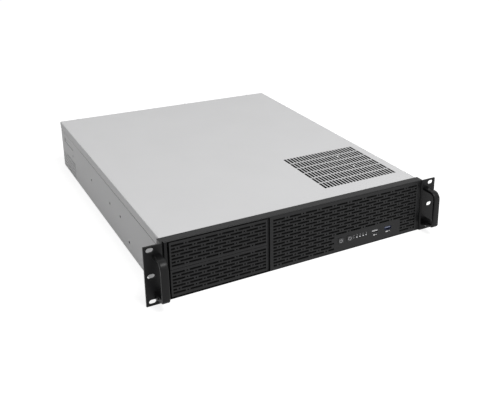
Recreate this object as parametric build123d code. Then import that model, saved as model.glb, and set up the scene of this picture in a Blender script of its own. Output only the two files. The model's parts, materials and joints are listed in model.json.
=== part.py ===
from build123d import *
from math import floor
import os

# Empty server case for a 19 inch rack, two units high.
# Millimetres. X runs to the right seen from the front, Y to the rear, Z up.
# The origin is the middle of the six rack slots, on the rear face of the ears,
# which is the face that bears on the rack's rails.

# Rack interface
ear_reach = 26.3  # how far each ear stands out beside the body
panel_height = 88.1
rack_slot_inset = 8.75  # from the ear's outer edge to the middle of its slots
rack_slot_drop = 5.95  # from the ear's upper or lower edge to the middle of its end slots
rack_slot_length = 10.2
rack_slot_height = 6.8

# Sheets and clearances
tray_sheet = 1.2
cover_sheet = 1.0
wall_sheet = 1.2
cage_sheet = 1.0
bend_radius = 1.8
slide_gap = 0.3  # between the cover and what it slides along
seat_gap = 0.1  # between faces that rest on each other but belong to moving pieces
fit_gap = 0.2  # round a piece that is pushed into a cut-out

# What the body holds from left to right, which makes its width
side_room = 5.7
wide_bay_width = 146.8
cage_gap = 6.65
small_bay_width = 102.2
cradle_width = 152.0
cradle_room = 6.0

# What the body holds from front to rear, which makes its depth
cover_front = 14.2
wide_bay_depth = 180.0
small_bay_depth = 150.0
fan_gap = 10.5
fan_depth = 25.0
cable_room = 78.8  # between the fan wall and the first row of standoffs
standoff_setbacks = (20.2, 175.2, 253.2)  # from the rear panel
cradle_front = 42.0
cradle_depth = 150.0

# Top cover
cover_lip = 12.6
cover_tongue = 6.0
tongue_inset = 35.0
vent_columns = 23
vent_rows = 6
vent_slot_width = 4.2
vent_slot_length = 20.3
vent_pitch_x = 5.97
vent_pitch_y = 23.27
vent_inset = 6.5  # from the left edge of the supply cradle
vent_setback = 5.0  # from the front edge of the supply cradle
thumb_head_radius = 5.5
thumb_head_length = 7.0
thumb_thread_radius = 1.9
thumb_thread_length = 7.0
thumb_inset = 35.0

# Sides of the tray
groove_height = 1.7  # the dark line left under the cover's lip
top_return = 12.0
rail_hole_radius = 2.5
rail_hole_height = 0.4
rail_hole_places = (191.9, 247.4, 356.3, 483.7)
low_hole_place = 152.2
low_hole_rise = 18.65
recess_setback = 88.5
recess_length = 63.3
recess_height = 9.1
recess_drop = 10.35  # under the cover's lip
recess_depth = 1.0
side_vent_setback = 95.7
side_vent_rise = 4.65
side_vent_columns = 13
side_vent_rows = 5
side_vent_pitch = 6.5
side_vent_hole = 3.2

# Black front
ear_sheet = 2.5
ear_bend = 2.8
frame_setback = 1.9  # behind the front of the ears
frame_wall = 1.3
frame_stile = 6.2
frame_corner = 1.4  # rounding of its upright outer edges
face_setback = 0.3
face_sheet = 1.2
divider_width = 1.4
divider_gap = 1.6
ear_screw_radius = 2.0
ear_screw_head_radius = 3.6
ear_screw_spacing = 56.0
ear_screw_setback = 6.0

# Handles
handle_inset = 9.4  # from the body's side to the middle of the grip
handle_width = 10.2
handle_thick = 4.8
handle_reach = 30.2  # in front of the ear
handle_top_drop = 12.85
handle_rise = 15.25
handle_top_radius = 12.5
handle_low_radius = 5.0
handle_foot_drop = 5.6  # how far the lower leg deepens towards the ear
handle_edge = 0.7
handle_screw_radius = 1.5
handle_screw_length = 8.0
handle_screw_head_radius = 2.9
handle_screw_head = 2.2
foot_screw_reach = 11.8  # in front of the ear
foot_screw_rise = 0.5  # above the underside of the grip
foot_screw_radius = 1.0
foot_screw_length = 5.0
foot_screw_head_radius = 1.9
foot_screw_head = 1.2

# Mesh of the front: long slots in a running bond
slot_height = 3.0
bay_slot_period = 24.0
bay_slot_length = 17.4
bay_row_pitch = 5.0
bay_row_margin = 5.3
mesh_slot_period = 27.0
mesh_slot_length = 19.0
mesh_row_pitch = 4.86
mesh_row_margin = 7.2
mesh_top_margin = 7.95
mesh_left_margin = 6.2
mesh_right_margin = 6.5
shortest_slot = 2.0
bay_cover_play = 2.5  # the covers are this much narrower than the bay
bay_cover_drop = 1.8
bay_cover_split = 0.6
bay_cover_rim = 7.0
clip_width = 12.0
clip_thick = 1.2
clip_hook = 1.2
clip_reach = 3.0
filter_thick = 2.0

# Control panel, a plain field in the mesh
panel_overlap = 5.9  # how far it starts to the left of the supply cradle
control_width = 126.8
panel_rise = 30.05
control_rise = 18.85  # centre line of the buttons and ports
light_rise = 17.05
power_inset = 13.0
button_pitch = 15.9
button_width = 9.0
button_height = 8.4
button_travel = 0.8
button_proud = 1.2
button_flange = 1.2
button_flange_lap = 1.0
button_stem_radius = 1.6
button_corner = 0.8
light_inset = 37.1
light_pitch = 5.75
light_count = 5
light_radius = 1.5
port_inset = 77.1
port_pitch = 24.6
port_width = 13.4
port_height = 6.0
port_wall = 0.4
tongue_width = 11.0
tongue_thick = 1.9
tongue_setback = 0.8
board_front = 13.0
board_inset = 10.5
board_thick = 1.6
board_height = 24.0
board_post_radius = 2.5
board_post_inset = 4.0
board_screw_radius = 1.5
board_screw_head_radius = 2.8
board_screw_head = 1.8
switch_size = 6.0
switch_height = 3.5

# Drive cages, supply cradle and fan wall
window_rim = 3.0
cage_slot_length = 16.0
cage_slot_height = 3.4
cage_window_side = 20.0
cage_window_end = 30.0
wide_bay_slots = (10.0, 52.0)
small_bay_slots = (8.0, 34.0, 60.0)
cradle_lip = 22.0
cradle_stop_inset = 6.0
fan_wall_sheet = 1.2
fan_wall_flange = 12.0
fan_wall_room = 2.0
fan_room = 8.1  # what the floor, the cover and their clearances take of the height
fan_rim = 2.0
fan_corner = 5.0
fan_pitch = 88.0
fan_count = 3
fan_inset = 65.0
fan_strut = 4.0
fan_seat_thick = 4.0
fan_hub_radius = 15.0
fan_hub_cup = 16.0
fan_hub_wall = 1.5
fan_hub_face = 2.0
fan_blades = 7
fan_blade_angle = 35.0
fan_blade_bow = 24.0
fan_blade_sheet = 1.3
fan_blade_root = 5.5
fan_blade_tip = 10.0
fan_tip_gap = 1.5
fan_motor_radius = 17.0
fan_axle_gap = 0.05
fan_axle_radius = 1.5
fan_tube_wall = 3.0
cable_window_inset = 25.0
cable_window_width = 102.0
cable_window_rise = 16.0
cable_window_drop = 14.0

# Rear panel
rear_flange = 8.0
io_inset = 14.7
io_width = 158.8
io_height = 44.5
io_rise = 8.55
slot_count = 7
slot_pitch = 20.32
slot_board_gap = 17.58  # from the middle of the last card slot to the board window
slot_window_width = 12.8
slot_window_rise = 12.05
slot_window_drop = 11.05
slot_plate_sheet = 1.0
slot_plate_bend = 1.5
slot_plate_lap = 3.4
slot_plate_end = 4.0
slot_recess = 13.0
slot_cover_width = 18.4
slot_cover_sheet = 0.9
slot_cover_tab = 11.0
slot_cover_lap = 2.0
slot_screw_radius = 1.5
slot_screw_length = 4.0
slot_screw_head = 2.0
slot_screw_across = 5.5
inlet_inset = 50.0
inlet_rise = 22.05
inlet_width = 27.0
inlet_height = 20.0
inlet_depth = 22.0
inlet_flange_width = 50.0
inlet_flange_height = 24.0
inlet_flange_thick = 2.6
inlet_flange_corner = 4.0
inlet_cavity_width = 24.0
inlet_cavity_height = 16.4
inlet_cavity_depth = 17.0
inlet_pin_width = 2.0
inlet_pin_height = 4.0
inlet_pin_length = 11.0
inlet_pin_spacing = 7.0
inlet_screw_inset = 5.0
inlet_screw_radius = 2.6
inlet_screw_head = 1.8
rear_vent_columns = 10
rear_vent_rows = 2
rear_vent_pitch_x = 7.6
rear_vent_slot_width = 3.6
rear_vent_slot_length = 18.0
rear_vent_pitch_z = 21.0
rear_vent_inset = 15.0
rear_vent_rise = 39.05

# Board standoffs
standoff_height = 6.5
standoff_across = 5.0
standoff_insets = (30.0, 185.0, 310.0)  # from the right side of the body

# Places across the case that follow from the sizes above
cages_width = wide_bay_width + cage_gap + small_bay_width + cage_gap + 4 * cage_sheet
body_width = side_room + cages_width + cradle_width + cradle_room
half = body_width / 2
panel_width = body_width + 2 * ear_reach
rack_pitch_x = panel_width - 2 * rack_slot_inset
inner_half = half - cover_sheet - slide_gap  # outer face of the tray where the lip hangs over it
frame_end = half - inner_half + tray_sheet  # the frame's end walls cover the front edge of the tray
liner = half - frame_end - seat_gap  # outer face of the front wall's side flanges
wide_bay_left = -half + side_room + cage_sheet
small_bay_left = wide_bay_left + wide_bay_width + cage_gap + 2 * cage_sheet
cradle_left = small_bay_left + small_bay_width + cage_sheet + cage_gap
cradle_right = cradle_left + cradle_width
bay_cover_left = wide_bay_left + bay_cover_play / 2
bay_cover_right = bay_cover_left + wide_bay_width - bay_cover_play
divider_left = bay_cover_right + divider_gap
divider_right = divider_left + divider_width
panel_left = cradle_left - panel_overlap
panel_right = panel_left + control_width
power_x = panel_left + power_inset
reset_x = power_x + button_pitch
port_left_x = panel_left + port_inset
port_right_x = port_left_x + port_pitch
board_left = panel_left + board_inset
handle_x = half + handle_inset
io_left = half - io_inset - io_width
slot_first_x = io_left - slot_board_gap - slot_pitch * (slot_count - 1)
slot_last_x = io_left - slot_board_gap
slot_bay_left = slot_first_x - slot_pitch / 2
slot_bay_right = slot_last_x + slot_window_width / 2 + 1
inlet_x = -half + inlet_inset

# Heights
top = panel_height / 2
bottom = -top
rack_pitch_z = panel_height - 2 * rack_slot_drop
floor_top = bottom + tray_sheet
cover_under = top - cover_sheet
lip_bottom = top - cover_lip
shelf_top = cover_under - seat_gap
tongue_top = top - frame_wall - slide_gap
cage_top = tongue_top - cover_sheet - slide_gap  # what stands inside stays under the tongue's way
window_low = floor_top + window_rim
window_high = cage_top - window_rim
bay_cover_reach = top - frame_wall - bay_cover_drop
panel_top = bottom + panel_rise
control_height = bottom + control_rise
light_height = bottom + light_rise
handle_top = top - handle_top_drop
handle_bottom = bottom + handle_rise
recess_bottom = lip_bottom - recess_drop - recess_height
fan_size = panel_height - fan_room
fan_height = (floor_top + cage_top) / 2
fan_bore_radius = fan_size / 2 - fan_rim
slot_window_bottom = bottom + slot_window_rise
slot_window_top = top - slot_window_drop
slot_shelf_top = slot_window_top + slot_cover_lap
inlet_z = bottom + inlet_rise
thumb_height = (lip_bottom + cover_under) / 2

# Places from front to rear
ear_front = -ear_sheet
frame_front = ear_front + frame_setback
frame_rear = cover_front - slide_gap
face_front = frame_front + face_setback
face_rear = face_front + face_sheet
filter_rear = face_rear + filter_thick
wall_front = cover_front
wall_rear = wall_front + wall_sheet
fan_wall_y = wall_rear + wide_bay_depth + fan_gap + fan_depth
fan_front = fan_wall_y - fan_depth
rear_inner = fan_wall_y + cable_room + standoff_setbacks[-1]
rear_outer = rear_inner + wall_sheet
body_depth = rear_outer + cover_sheet + seat_gap
switch_front = board_front - switch_height
slot_plane = rear_inner - slot_recess  # inner face of the plate that the slot blanks lie on
inlet_front = rear_outer + inlet_flange_thick


def block(x0, x1, y0, y1, z0, z1):
    """Plain block between two corners"""
    return Pos((x0 + x1) / 2, (y0 + y1) / 2, (z0 + z1) / 2) * Box(x1 - x0, y1 - y0, z1 - z0)


def across(sketch, y0, length):
    """Solid drawn in X and Z, from y0 to the rear"""
    return Pos(0, y0 + length, 0) * extrude(Plane.XZ * sketch, length)


def along_x(sketch, x0, length):
    """Solid drawn in Y and Z, from x0 to the right"""
    return Pos(x0, 0, 0) * extrude(Plane.YZ * sketch, length)


def upright(sketch, z0, length):
    """Solid drawn in X and Y, from z0 upwards"""
    return Pos(0, 0, z0) * extrude(sketch, length)


def folded(points, thickness, radii, side=Side.LEFT):
    """Section of a sheet bent along a path, its thickness on one side of the path"""
    path = FilletPolyline(*points, radius=radii)
    return make_face(offset(path, amount=thickness, side=side, kind=Kind.INTERSECTION))


def pane(x0, x1, z0, z1):
    """Rectangle in a drawing between two corners"""
    return Pos((x0 + x1) / 2, (z0 + z1) / 2) * Rectangle(x1 - x0, z1 - z0)


def rod_y(x, z, y0, y1, radius):
    """Round bar that runs front to rear"""
    return across(Pos(x, z) * Circle(radius), y0, y1 - y0)


def rod_x(y, z, x0, x1, radius):
    """Round bar that runs left to right"""
    return along_x(Pos(y, z) * Circle(radius), x0, x1 - x0)


def rod_z(x, y, z0, z1, radius):
    """Round bar that stands upright"""
    return upright(Pos(x, y) * Circle(radius), z0, z1 - z0)


def mirrored(shape):
    """The same piece on the other side of the case"""
    return mirror(shape, about=Plane.YZ)


def bond(x0, x1, rows, period, length, keep_out=None):
    """Long slots in a running bond between x0 and x1, left whole round the keep-out field"""
    slots = []
    for row, z in enumerate(rows):
        start = x0 if row % 2 == 0 else x0 - period / 2
        while start < x1:
            spans = [(max(start, x0), min(start + length, x1))]
            if keep_out and z < keep_out[2]:
                left, right = spans[0]
                spans = [(left, min(right, keep_out[0])), (max(left, keep_out[1]), right)]
            slots += [pane(a, b, z - slot_height / 2, z + slot_height / 2)
                      for a, b in spans if b - a >= shortest_slot]
            start += period
    return slots


def tray_section():
    """Floor, two walls stepped in at the top, and the returns that carry the cover"""
    step = half - inner_half
    groove_top = lip_bottom - slide_gap
    step_low = groove_top - groove_height
    right = [(half, bottom), (half, step_low), (inner_half, step_low + step),
             (inner_half, shelf_top), (inner_half - top_return, shelf_top)]
    left = [(-x, z) for x, z in reversed(right)]
    return folded(left + right, tray_sheet, bend_radius)


def chassis_tray():
    tray = across(tray_section(), wall_front, rear_inner - seat_gap - wall_front)
    wall = (half - 2 * tray_sheet, half + tray_sheet)
    holes = [rod_x(y, rail_hole_height, *wall, rail_hole_radius) for y in rail_hole_places]
    holes.append(rod_x(low_hole_place, bottom + low_hole_rise, *wall, rail_hole_radius))
    tray -= holes + [mirrored(hole) for hole in holes]
    tray -= [side_vent(column, row) for column in range(side_vent_columns) for row in range(side_vent_rows)]
    return pressed_recess(tray)


def side_vent(column, row):
    """One square hole of the field low at the rear of the left wall"""
    y = body_depth - side_vent_setback + side_vent_pitch * (column + 0.5 * (row % 2))
    z = bottom + side_vent_rise + side_vent_pitch * row
    return block(-half - tray_sheet, -half + 2 * tray_sheet,
                 y, y + side_vent_hole, z, z + side_vent_hole)


def pressed_recess(tray):
    """Shallow field pressed into the left wall, which stands out on the inside"""
    ends = (body_depth - recess_setback, body_depth - recess_setback + recess_length)
    heights = (recess_bottom, recess_bottom + recess_height)
    bump = block(-half + tray_sheet / 2, -half + tray_sheet + recess_depth,
                 ends[0] - tray_sheet, ends[1] + tray_sheet,
                 heights[0] - tray_sheet, heights[1] + tray_sheet)
    hollow = block(-half - tray_sheet, -half + recess_depth, *ends, *heights)
    return tray + bump - hollow


def top_cover():
    """Flat lid with side lips, a rear flange for the thumbscrews and a tongue under the front frame"""
    corners = [(half, lip_bottom), (half, top), (-half, top), (-half, lip_bottom)]
    shell = across(folded(corners, cover_sheet, bend_radius), cover_front, body_depth - cover_front)
    flange_half = inner_half - slide_gap
    flange = block(-flange_half, flange_half, body_depth - cover_sheet, body_depth,
                   lip_bottom, top - cover_sheet / 2)
    vent = [vent_slot(column, row) for column in range(vent_columns) for row in range(vent_rows)]
    holes = [rod_y(x, thumb_height, body_depth - 2 * cover_sheet, body_depth + cover_sheet,
                   thumb_thread_radius + fit_gap) for x in thumb_places()]
    cover = shell + flange + cover_tongue_sheet()
    return cover - upright(Sketch() + vent, cover_under - cover_sheet, 3 * cover_sheet) - holes


def cover_tongue_sheet():
    """Step down at the front edge and the tongue that slips under the frame"""
    reach = half - tongue_inset
    rear = cover_front + cover_sheet
    step = block(-reach, reach, cover_front, rear, tongue_top - cover_sheet, cover_under)
    tongue = block(-reach, reach, cover_front - cover_tongue, rear, tongue_top - cover_sheet, tongue_top)
    return step + tongue


def vent_slot(column, row):
    """One slot of the vent over the power supply"""
    x = cradle_left + vent_inset + vent_pitch_x * column
    y = cradle_front + vent_setback + vent_pitch_y * row
    return pane(x, x + vent_slot_width, y, y + vent_slot_length)


def thumb_places():
    """The middle screw stands between the card slots and the board window"""
    return (-half + thumb_inset, io_left - slot_plate_end, half - thumb_inset)


def cover_thumbscrews():
    """Screws that hold the cover's rear flange to the rear panel"""
    return [rod_y(x, thumb_height, body_depth, body_depth + thumb_head_length, thumb_head_radius)
            + rod_y(x, thumb_height, body_depth - thumb_thread_length, body_depth, thumb_thread_radius)
            for x in thumb_places()]


def front_frame():
    """Black ring round the front, with stiles at both ends and a divider beside the drive bays"""
    outer = pane(-half, half, bottom, top)
    ring = outer - pane(-half + frame_end, half - frame_end, bottom + frame_wall, top - frame_wall)
    lips = outer - pane(-half + frame_stile, half - frame_stile, bottom + frame_wall, top - frame_wall)
    frame = across(ring, frame_front, frame_rear - frame_front) + across(lips, frame_front, face_sheet)
    divider = block(divider_left, divider_right, face_front, cover_front - cover_tongue - slide_gap,
                    bottom + frame_wall / 2, top - frame_wall / 2)
    holes = [rod_x(ear_screw_setback, z, -half - 1, half + 1, ear_screw_radius + fit_gap)
             for z in ear_screw_heights()]
    edges = [edge for edge in frame.edges().filter_by(Axis.Z)
             if abs(edge.center().X) > half - 0.1 and edge.center().Y < frame_front + 0.1]
    return fillet(edges, frame_corner) - holes + divider


def ear_screw_heights():
    return (-ear_screw_spacing / 2, ear_screw_spacing / 2)


def front_wall():
    """Steel wall behind the black frame: windows for the bays, the drives and the supply"""
    sheet = across(pane(-liner, liner, floor_top, cage_top) - window_panes(), wall_front, wall_sheet)
    side = block(liner - wall_sheet, liner, ear_screw_setback - 4, wall_rear, floor_top + 4, cage_top - 4)
    foot = block(-liner, liner, wall_front, wall_rear + top_return, floor_top, floor_top + wall_sheet)
    holes = [rod_x(ear_screw_setback, z, -half, half, ear_screw_radius) for z in ear_screw_heights()]
    return sheet + side + mirrored(side) + foot - holes - [cage_notch(x) for x in cage_wall_places()]


def cage_wall_places():
    """Left face of each wall of the two drive cages"""
    lefts = (wide_bay_left, small_bay_left)
    rights = (wide_bay_left + wide_bay_width, small_bay_left + small_bay_width)
    return [left - cage_sheet for left in lefts] + list(rights)


def cage_notch(x):
    """Slot in the front wall's foot where a wall of a cage stands on the floor"""
    return block(x - fit_gap, x + cage_sheet + fit_gap, wall_rear, wall_rear + top_return + 1,
                 floor_top - 1, floor_top + 2 * wall_sheet)


def window_panes():
    """Windows of the front wall, seen from the front"""
    spans = ((wide_bay_left, wide_bay_left + wide_bay_width),
             (small_bay_left, small_bay_left + small_bay_width), (cradle_left, cradle_right))
    return [pane(left + window_rim, right - window_rim, window_low, window_high) for left, right in spans]


def ear(side):
    """Folded bracket: the ear in front and a short flange against the end of the frame"""
    corners = [(panel_width / 2, ear_front), (half, ear_front), (half, frame_rear)]
    bracket = upright(folded(corners, ear_sheet, ear_bend, Side.RIGHT), bottom, panel_height)
    slots = [across(Pos(rack_pitch_x / 2, z) * SlotOverall(rack_slot_length, rack_slot_height),
                    ear_front - ear_sheet, 3 * ear_sheet) for z in (-rack_pitch_z / 2, 0, rack_pitch_z / 2)]
    screws = [ear_screw_hole(z) for z in ear_screw_heights()]
    grips = [rod_y(handle_x, z, ear_front - ear_sheet, ear_sheet, handle_screw_radius + fit_gap)
             for z in handle_screw_heights()]
    bracket -= slots + screws + grips
    return bracket if side > 0 else mirrored(bracket)


def ear_screw_hole(z):
    """Countersunk hole in the flange of the ear"""
    hole = rod_x(ear_screw_setback, z, half - ear_sheet, half + 2 * ear_sheet, ear_screw_radius + fit_gap)
    wide = ear_screw_head_radius + fit_gap
    narrow = ear_screw_radius + fit_gap
    sink = Cone(narrow, wide, wide - narrow, align=(Align.CENTER, Align.CENTER, Align.MAX))
    return hole + ear_screw_place(z) * sink


def ear_screw_place(z):
    """Outer face of the ear's flange, looking to the right"""
    return Pos(half + ear_sheet, ear_screw_setback, z) * Rot(0, 90, 0)


def ear_side_screws():
    """Countersunk screws through the ear's flange and the frame into the front wall"""
    screws = []
    for z in ear_screw_heights():
        cone = Cone(ear_screw_radius, ear_screw_head_radius, ear_screw_head_radius - ear_screw_radius,
                    align=(Align.CENTER, Align.CENTER, Align.MAX))
        body = rod_x(ear_screw_setback, z, liner - 2 * wall_sheet, half + ear_sheet / 2, ear_screw_radius)
        head = ear_screw_place(z) * cone
        screws.append(head + body)
    return screws + [mirrored(screw) for screw in screws]


def handle_screw_heights():
    return (handle_bottom + handle_thick / 2, handle_top - handle_thick / 2)


def handle(side):
    """Flat bar bent to a grip: a wide bend at the top, a tight one at the bottom and a deepened foot"""
    reach = ear_front - handle_reach
    corners = [(ear_front, handle_bottom), (reach, handle_bottom),
               (reach, handle_top), (ear_front, handle_top)]
    section = folded(corners, handle_thick, [handle_low_radius, handle_top_radius], Side.RIGHT)
    bend, middle = reach + handle_low_radius, handle_bottom + handle_thick / 2
    foot = make_face(Polyline((bend, handle_bottom), (ear_front, handle_bottom - handle_foot_drop),
                              (ear_front, middle), (bend, middle), close=True))
    grip = along_x(section + foot, handle_x - handle_width / 2, handle_width)
    long_edges = [edge for edge in grip.edges()
                  if edge.center().Y < ear_front - 1 and abs(edge.tangent_at(0.5).X) < 0.5]
    grip = chamfer(long_edges, handle_edge)
    deep = ear_front - handle_screw_length - 1
    grip -= [rod_y(handle_x, z, deep, ear_front + 1, handle_screw_radius) for z in handle_screw_heights()]
    grip -= foot_rod(-foot_screw_length, 1, foot_screw_radius)
    return grip if side > 0 else mirrored(grip)


def handle_screws():
    """Screws that hold the grips from behind the ears"""
    screws = [rod_y(handle_x, z, ear_front - handle_screw_length, 0, handle_screw_radius)
              + rod_y(handle_x, z, 0, handle_screw_head, handle_screw_head_radius)
              for z in handle_screw_heights()]
    return screws + [mirrored(screw) for screw in screws]


def foot_rod(start, end, radius):
    """Round bar across the foot of the right grip, measured from its outer side"""
    outer = handle_x + handle_width / 2
    y, z = ear_front - foot_screw_reach, handle_bottom + foot_screw_rise
    return rod_x(y, z, outer + start, outer + end, radius)


def foot_screws():
    """Small round-headed screw in the outer side of each grip's foot"""
    head = foot_rod(0, foot_screw_head, foot_screw_head_radius)
    screw = head + foot_rod(-foot_screw_length, 0, foot_screw_radius)
    return [screw, mirrored(screw)]


def bay_cover_heights(upper):
    """Lower and upper edge of one bay cover"""
    near, far = bay_cover_split / 2, bay_cover_reach
    return (near, far) if upper else (-far, -near)


def bay_cover(upper):
    """Mesh cover of one wide bay, with a rim that reaches back into the frame"""
    low, high = bay_cover_heights(upper)
    middle = (low + high) / 2
    count = floor((high - low - 2 * bay_row_margin) / bay_row_pitch)
    rows = [middle + bay_row_pitch * (index - count / 2) for index in range(count + 1)]
    count = floor((bay_cover_right - bay_cover_left) / bay_slot_period)
    width = count * bay_slot_period - (bay_slot_period - bay_slot_length)
    start = (bay_cover_left + bay_cover_right - width) / 2
    outline = pane(bay_cover_left, bay_cover_right, low, high)
    slots = bond(start, start + width, rows, bay_slot_period, bay_slot_length)
    face = across(outline - slots, face_front, face_sheet)
    rim = outline - pane(bay_cover_left + face_sheet, bay_cover_right - face_sheet,
                         low + face_sheet, high - face_sheet)
    shell = face + across(rim, face_front, bay_cover_rim)
    centre = (bay_cover_left + bay_cover_right) / 2
    clip = Pos(centre, 0, middle) * cover_clip()
    return shell + clip + Pos(centre, 0, middle) * mirrored(cover_clip())


def cover_clip():
    """Spring tab at the right end of a cover, hooked behind the edge of the front wall's window"""
    rim = (bay_cover_right - bay_cover_left) / 2
    reach = wide_bay_width / 2 - window_rim - fit_gap
    start, end = filter_rear + fit_gap, face_front + bay_cover_rim
    foot = block(reach - clip_thick, rim - face_sheet / 2, start, end, -clip_width / 2, clip_width / 2)
    tab = block(reach - clip_thick, reach, start, wall_rear + clip_reach, -clip_width / 2, clip_width / 2)
    hook = block(reach - clip_thick, reach + clip_hook, wall_rear + fit_gap, wall_rear + clip_reach / 2,
                 -clip_width / 2, clip_width / 2)
    return foot + tab + hook


def bay_filters():
    """Foam sheets that lie behind the mesh of the bay covers"""
    gap = face_sheet + fit_gap
    sheets = []
    for low, high in (bay_cover_heights(False), bay_cover_heights(True)):
        sheet = pane(bay_cover_left + gap, bay_cover_right - gap, low + gap, high - gap)
        sheets.append(across(sheet, face_rear, filter_thick))
    return sheets


def mesh_outline():
    """Edge of the right-hand mesh inside the frame"""
    edge = frame_wall + fit_gap
    return pane(divider_right + fit_gap, half - frame_stile - fit_gap, bottom + edge, top - edge)


def light_places():
    return [panel_left + light_inset + light_pitch * index for index in range(light_count)]


def front_mesh():
    """Right-hand mesh with a plain field for the buttons, lights and ports"""
    count = floor((panel_height - 2 * mesh_row_margin) / mesh_row_pitch)
    rows = [top - mesh_top_margin - mesh_row_pitch * index for index in range(count + 1)]
    field = (panel_left, panel_right, panel_top)
    ends = (divider_right + mesh_left_margin, half - mesh_right_margin)
    sketch = mesh_outline() - bond(*ends, rows, mesh_slot_period, mesh_slot_length, field)
    cuts = [Pos(x, control_height) * Rectangle(button_width + 2 * fit_gap, button_height + 2 * fit_gap)
            for x in (power_x, reset_x)]
    cuts += [Pos(x, control_height) * Rectangle(port_width + 2 * fit_gap, port_height + 2 * fit_gap)
             for x in (port_left_x, port_right_x)]
    cuts += [Pos(x, light_height) * Circle(light_radius + fit_gap / 2) for x in light_places()]
    return across(sketch - cuts, face_front, face_sheet)


def mesh_filter():
    """Foam sheet behind the right-hand mesh, cut away round the control panel"""
    edge = frame_wall + 2 * fit_gap
    sheet = pane(divider_right + edge, half - frame_stile - edge, bottom + edge, top - edge)
    sheet -= pane(panel_left - 1, panel_right + 1, bottom, panel_top + 1)
    return across(sheet, face_rear, filter_thick)


def button(x):
    """Square push button: its cap in the panel, a flange behind and a stem to the switch"""
    cap = across(Pos(x, control_height) * RectangleRounded(button_width, button_height, button_corner),
                 face_front - button_proud, button_proud + face_sheet + 1)
    flange_front = face_rear + seat_gap
    lap = 2 * button_flange_lap
    flange = across(Pos(x, control_height) * Rectangle(button_width + lap, button_height + lap),
                    flange_front, button_flange)
    stem_end = switch_front - button_travel - seat_gap
    stem = rod_y(x, control_height, flange_front, stem_end, button_stem_radius)
    return cap + flange + stem


def button_switches():
    """Push switches on the board behind the two buttons"""
    return [across(Pos(x, control_height) * Rectangle(switch_size, switch_size), switch_front, switch_height)
            for x in (power_x, reset_x)]


def indicator(index):
    """Clear lens of one indicator, from the board to the panel"""
    return rod_y(light_places()[index], light_height, face_front - face_setback, board_front, light_radius)


def port_shell(x):
    """Pressed shell of one socket, open in front and closed by the board behind"""
    outer = Pos(x, control_height) * Rectangle(port_width, port_height)
    inner = Pos(x, control_height) * Rectangle(port_width - 2 * port_wall, port_height - 2 * port_wall)
    tube = across(outer - inner, face_front - seat_gap, board_front - face_front + seat_gap)
    return tube + across(outer, board_front - port_wall, port_wall)


def port_tongue(x):
    """Plastic tongue in the upper half of one socket"""
    height = control_height + port_height / 2 - 2 * port_wall - tongue_thick / 2
    start, end = face_front + tongue_setback, board_front - port_wall
    return across(Pos(x, height) * Rectangle(tongue_width, tongue_thick), start, end - start)


def board_post_places():
    height = control_height - board_height / 2 + board_post_radius + seat_gap
    return ((board_left + board_post_inset, height), (panel_right - board_post_inset, height))


def panel_board():
    """Circuit board behind the control panel"""
    low, high = control_height - board_height / 2, control_height + board_height / 2
    board = across(pane(board_left, panel_right, low, high), board_front, board_thick)
    return board - [rod_y(x, z, board_front - board_thick, board_front + 2 * board_thick,
                          board_screw_radius + fit_gap) for x, z in board_post_places()]


def board_posts():
    """Threaded posts that carry the board on the rear of the mesh"""
    return [rod_y(x, z, face_rear, board_front, board_post_radius) for x, z in board_post_places()]


def board_screws():
    """Screws that hold the board to its posts"""
    rear = board_front + board_thick
    return [rod_y(x, z, rear, rear + board_screw_head, board_screw_head_radius)
            + rod_y(x, z, board_front, rear, board_screw_radius) for x, z in board_post_places()]


def cage(inner_width, left, depth, hole_heights):
    """Folded cage: two walls that stand on the floor and a top, with slots for the drive screws"""
    right = left + inner_width
    corners = [(right + cage_sheet, floor_top), (right + cage_sheet, cage_top),
               (left - cage_sheet, cage_top), (left - cage_sheet, floor_top)]
    shell = across(folded(corners, cage_sheet, bend_radius), wall_rear, depth)
    cuts = [block(left - 2 * cage_sheet, right + 2 * cage_sheet, y, y + cage_slot_length,
                  floor_top + z, floor_top + z + cage_slot_height)
            for y in (wall_rear + depth * 0.3, wall_rear + depth * 0.7) for z in hole_heights]
    window = block(left + cage_window_side, right - cage_window_side, wall_rear + cage_window_end,
                   wall_rear + depth - cage_window_end, cage_top - 2 * cage_sheet, cage_top + cage_sheet)
    return shell - cuts - window


def bay_cage():
    return cage(wide_bay_width, wide_bay_left, wide_bay_depth, wide_bay_slots)


def drive_cage():
    return cage(small_bay_width, small_bay_left, small_bay_depth, small_bay_slots)


def supply_cradle():
    """Shallow folded tray that carries the power supply under the cover's vent"""
    corners = [(cradle_left, floor_top + cradle_lip), (cradle_left, floor_top),
               (cradle_right, floor_top), (cradle_right, floor_top + cradle_lip)]
    tray = across(folded(corners, cage_sheet, bend_radius), cradle_front, cradle_depth)
    cradle_rear = cradle_front + cradle_depth
    stop = block(cradle_left + cradle_stop_inset, cradle_right - cradle_stop_inset, cradle_rear - cage_sheet,
                 cradle_rear, floor_top, floor_top + cradle_lip)
    return tray + stop


def fan_places():
    return [-half + fan_inset + fan_pitch * index for index in range(fan_count)]


def fan_wall():
    """Bracket across the case that carries the fans, with a window for cables"""
    reach = half - tray_sheet - top_return - fan_wall_room
    bores = [Pos(x, fan_height) * Circle(fan_bore_radius) for x in fan_places()]
    right = half - cable_window_inset
    window = pane(right - cable_window_width, right,
                  floor_top + cable_window_rise, cage_top - cable_window_drop)
    wall = across(pane(-reach, reach, floor_top, cage_top) - bores - window, fan_wall_y, fan_wall_sheet)
    rear = fan_wall_y + fan_wall_flange
    foot = block(-reach, reach, fan_wall_y, rear, floor_top, floor_top + fan_wall_sheet)
    brow = block(-reach, reach, fan_wall_y, rear, cage_top - fan_wall_sheet, cage_top)
    return wall + foot + brow


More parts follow.
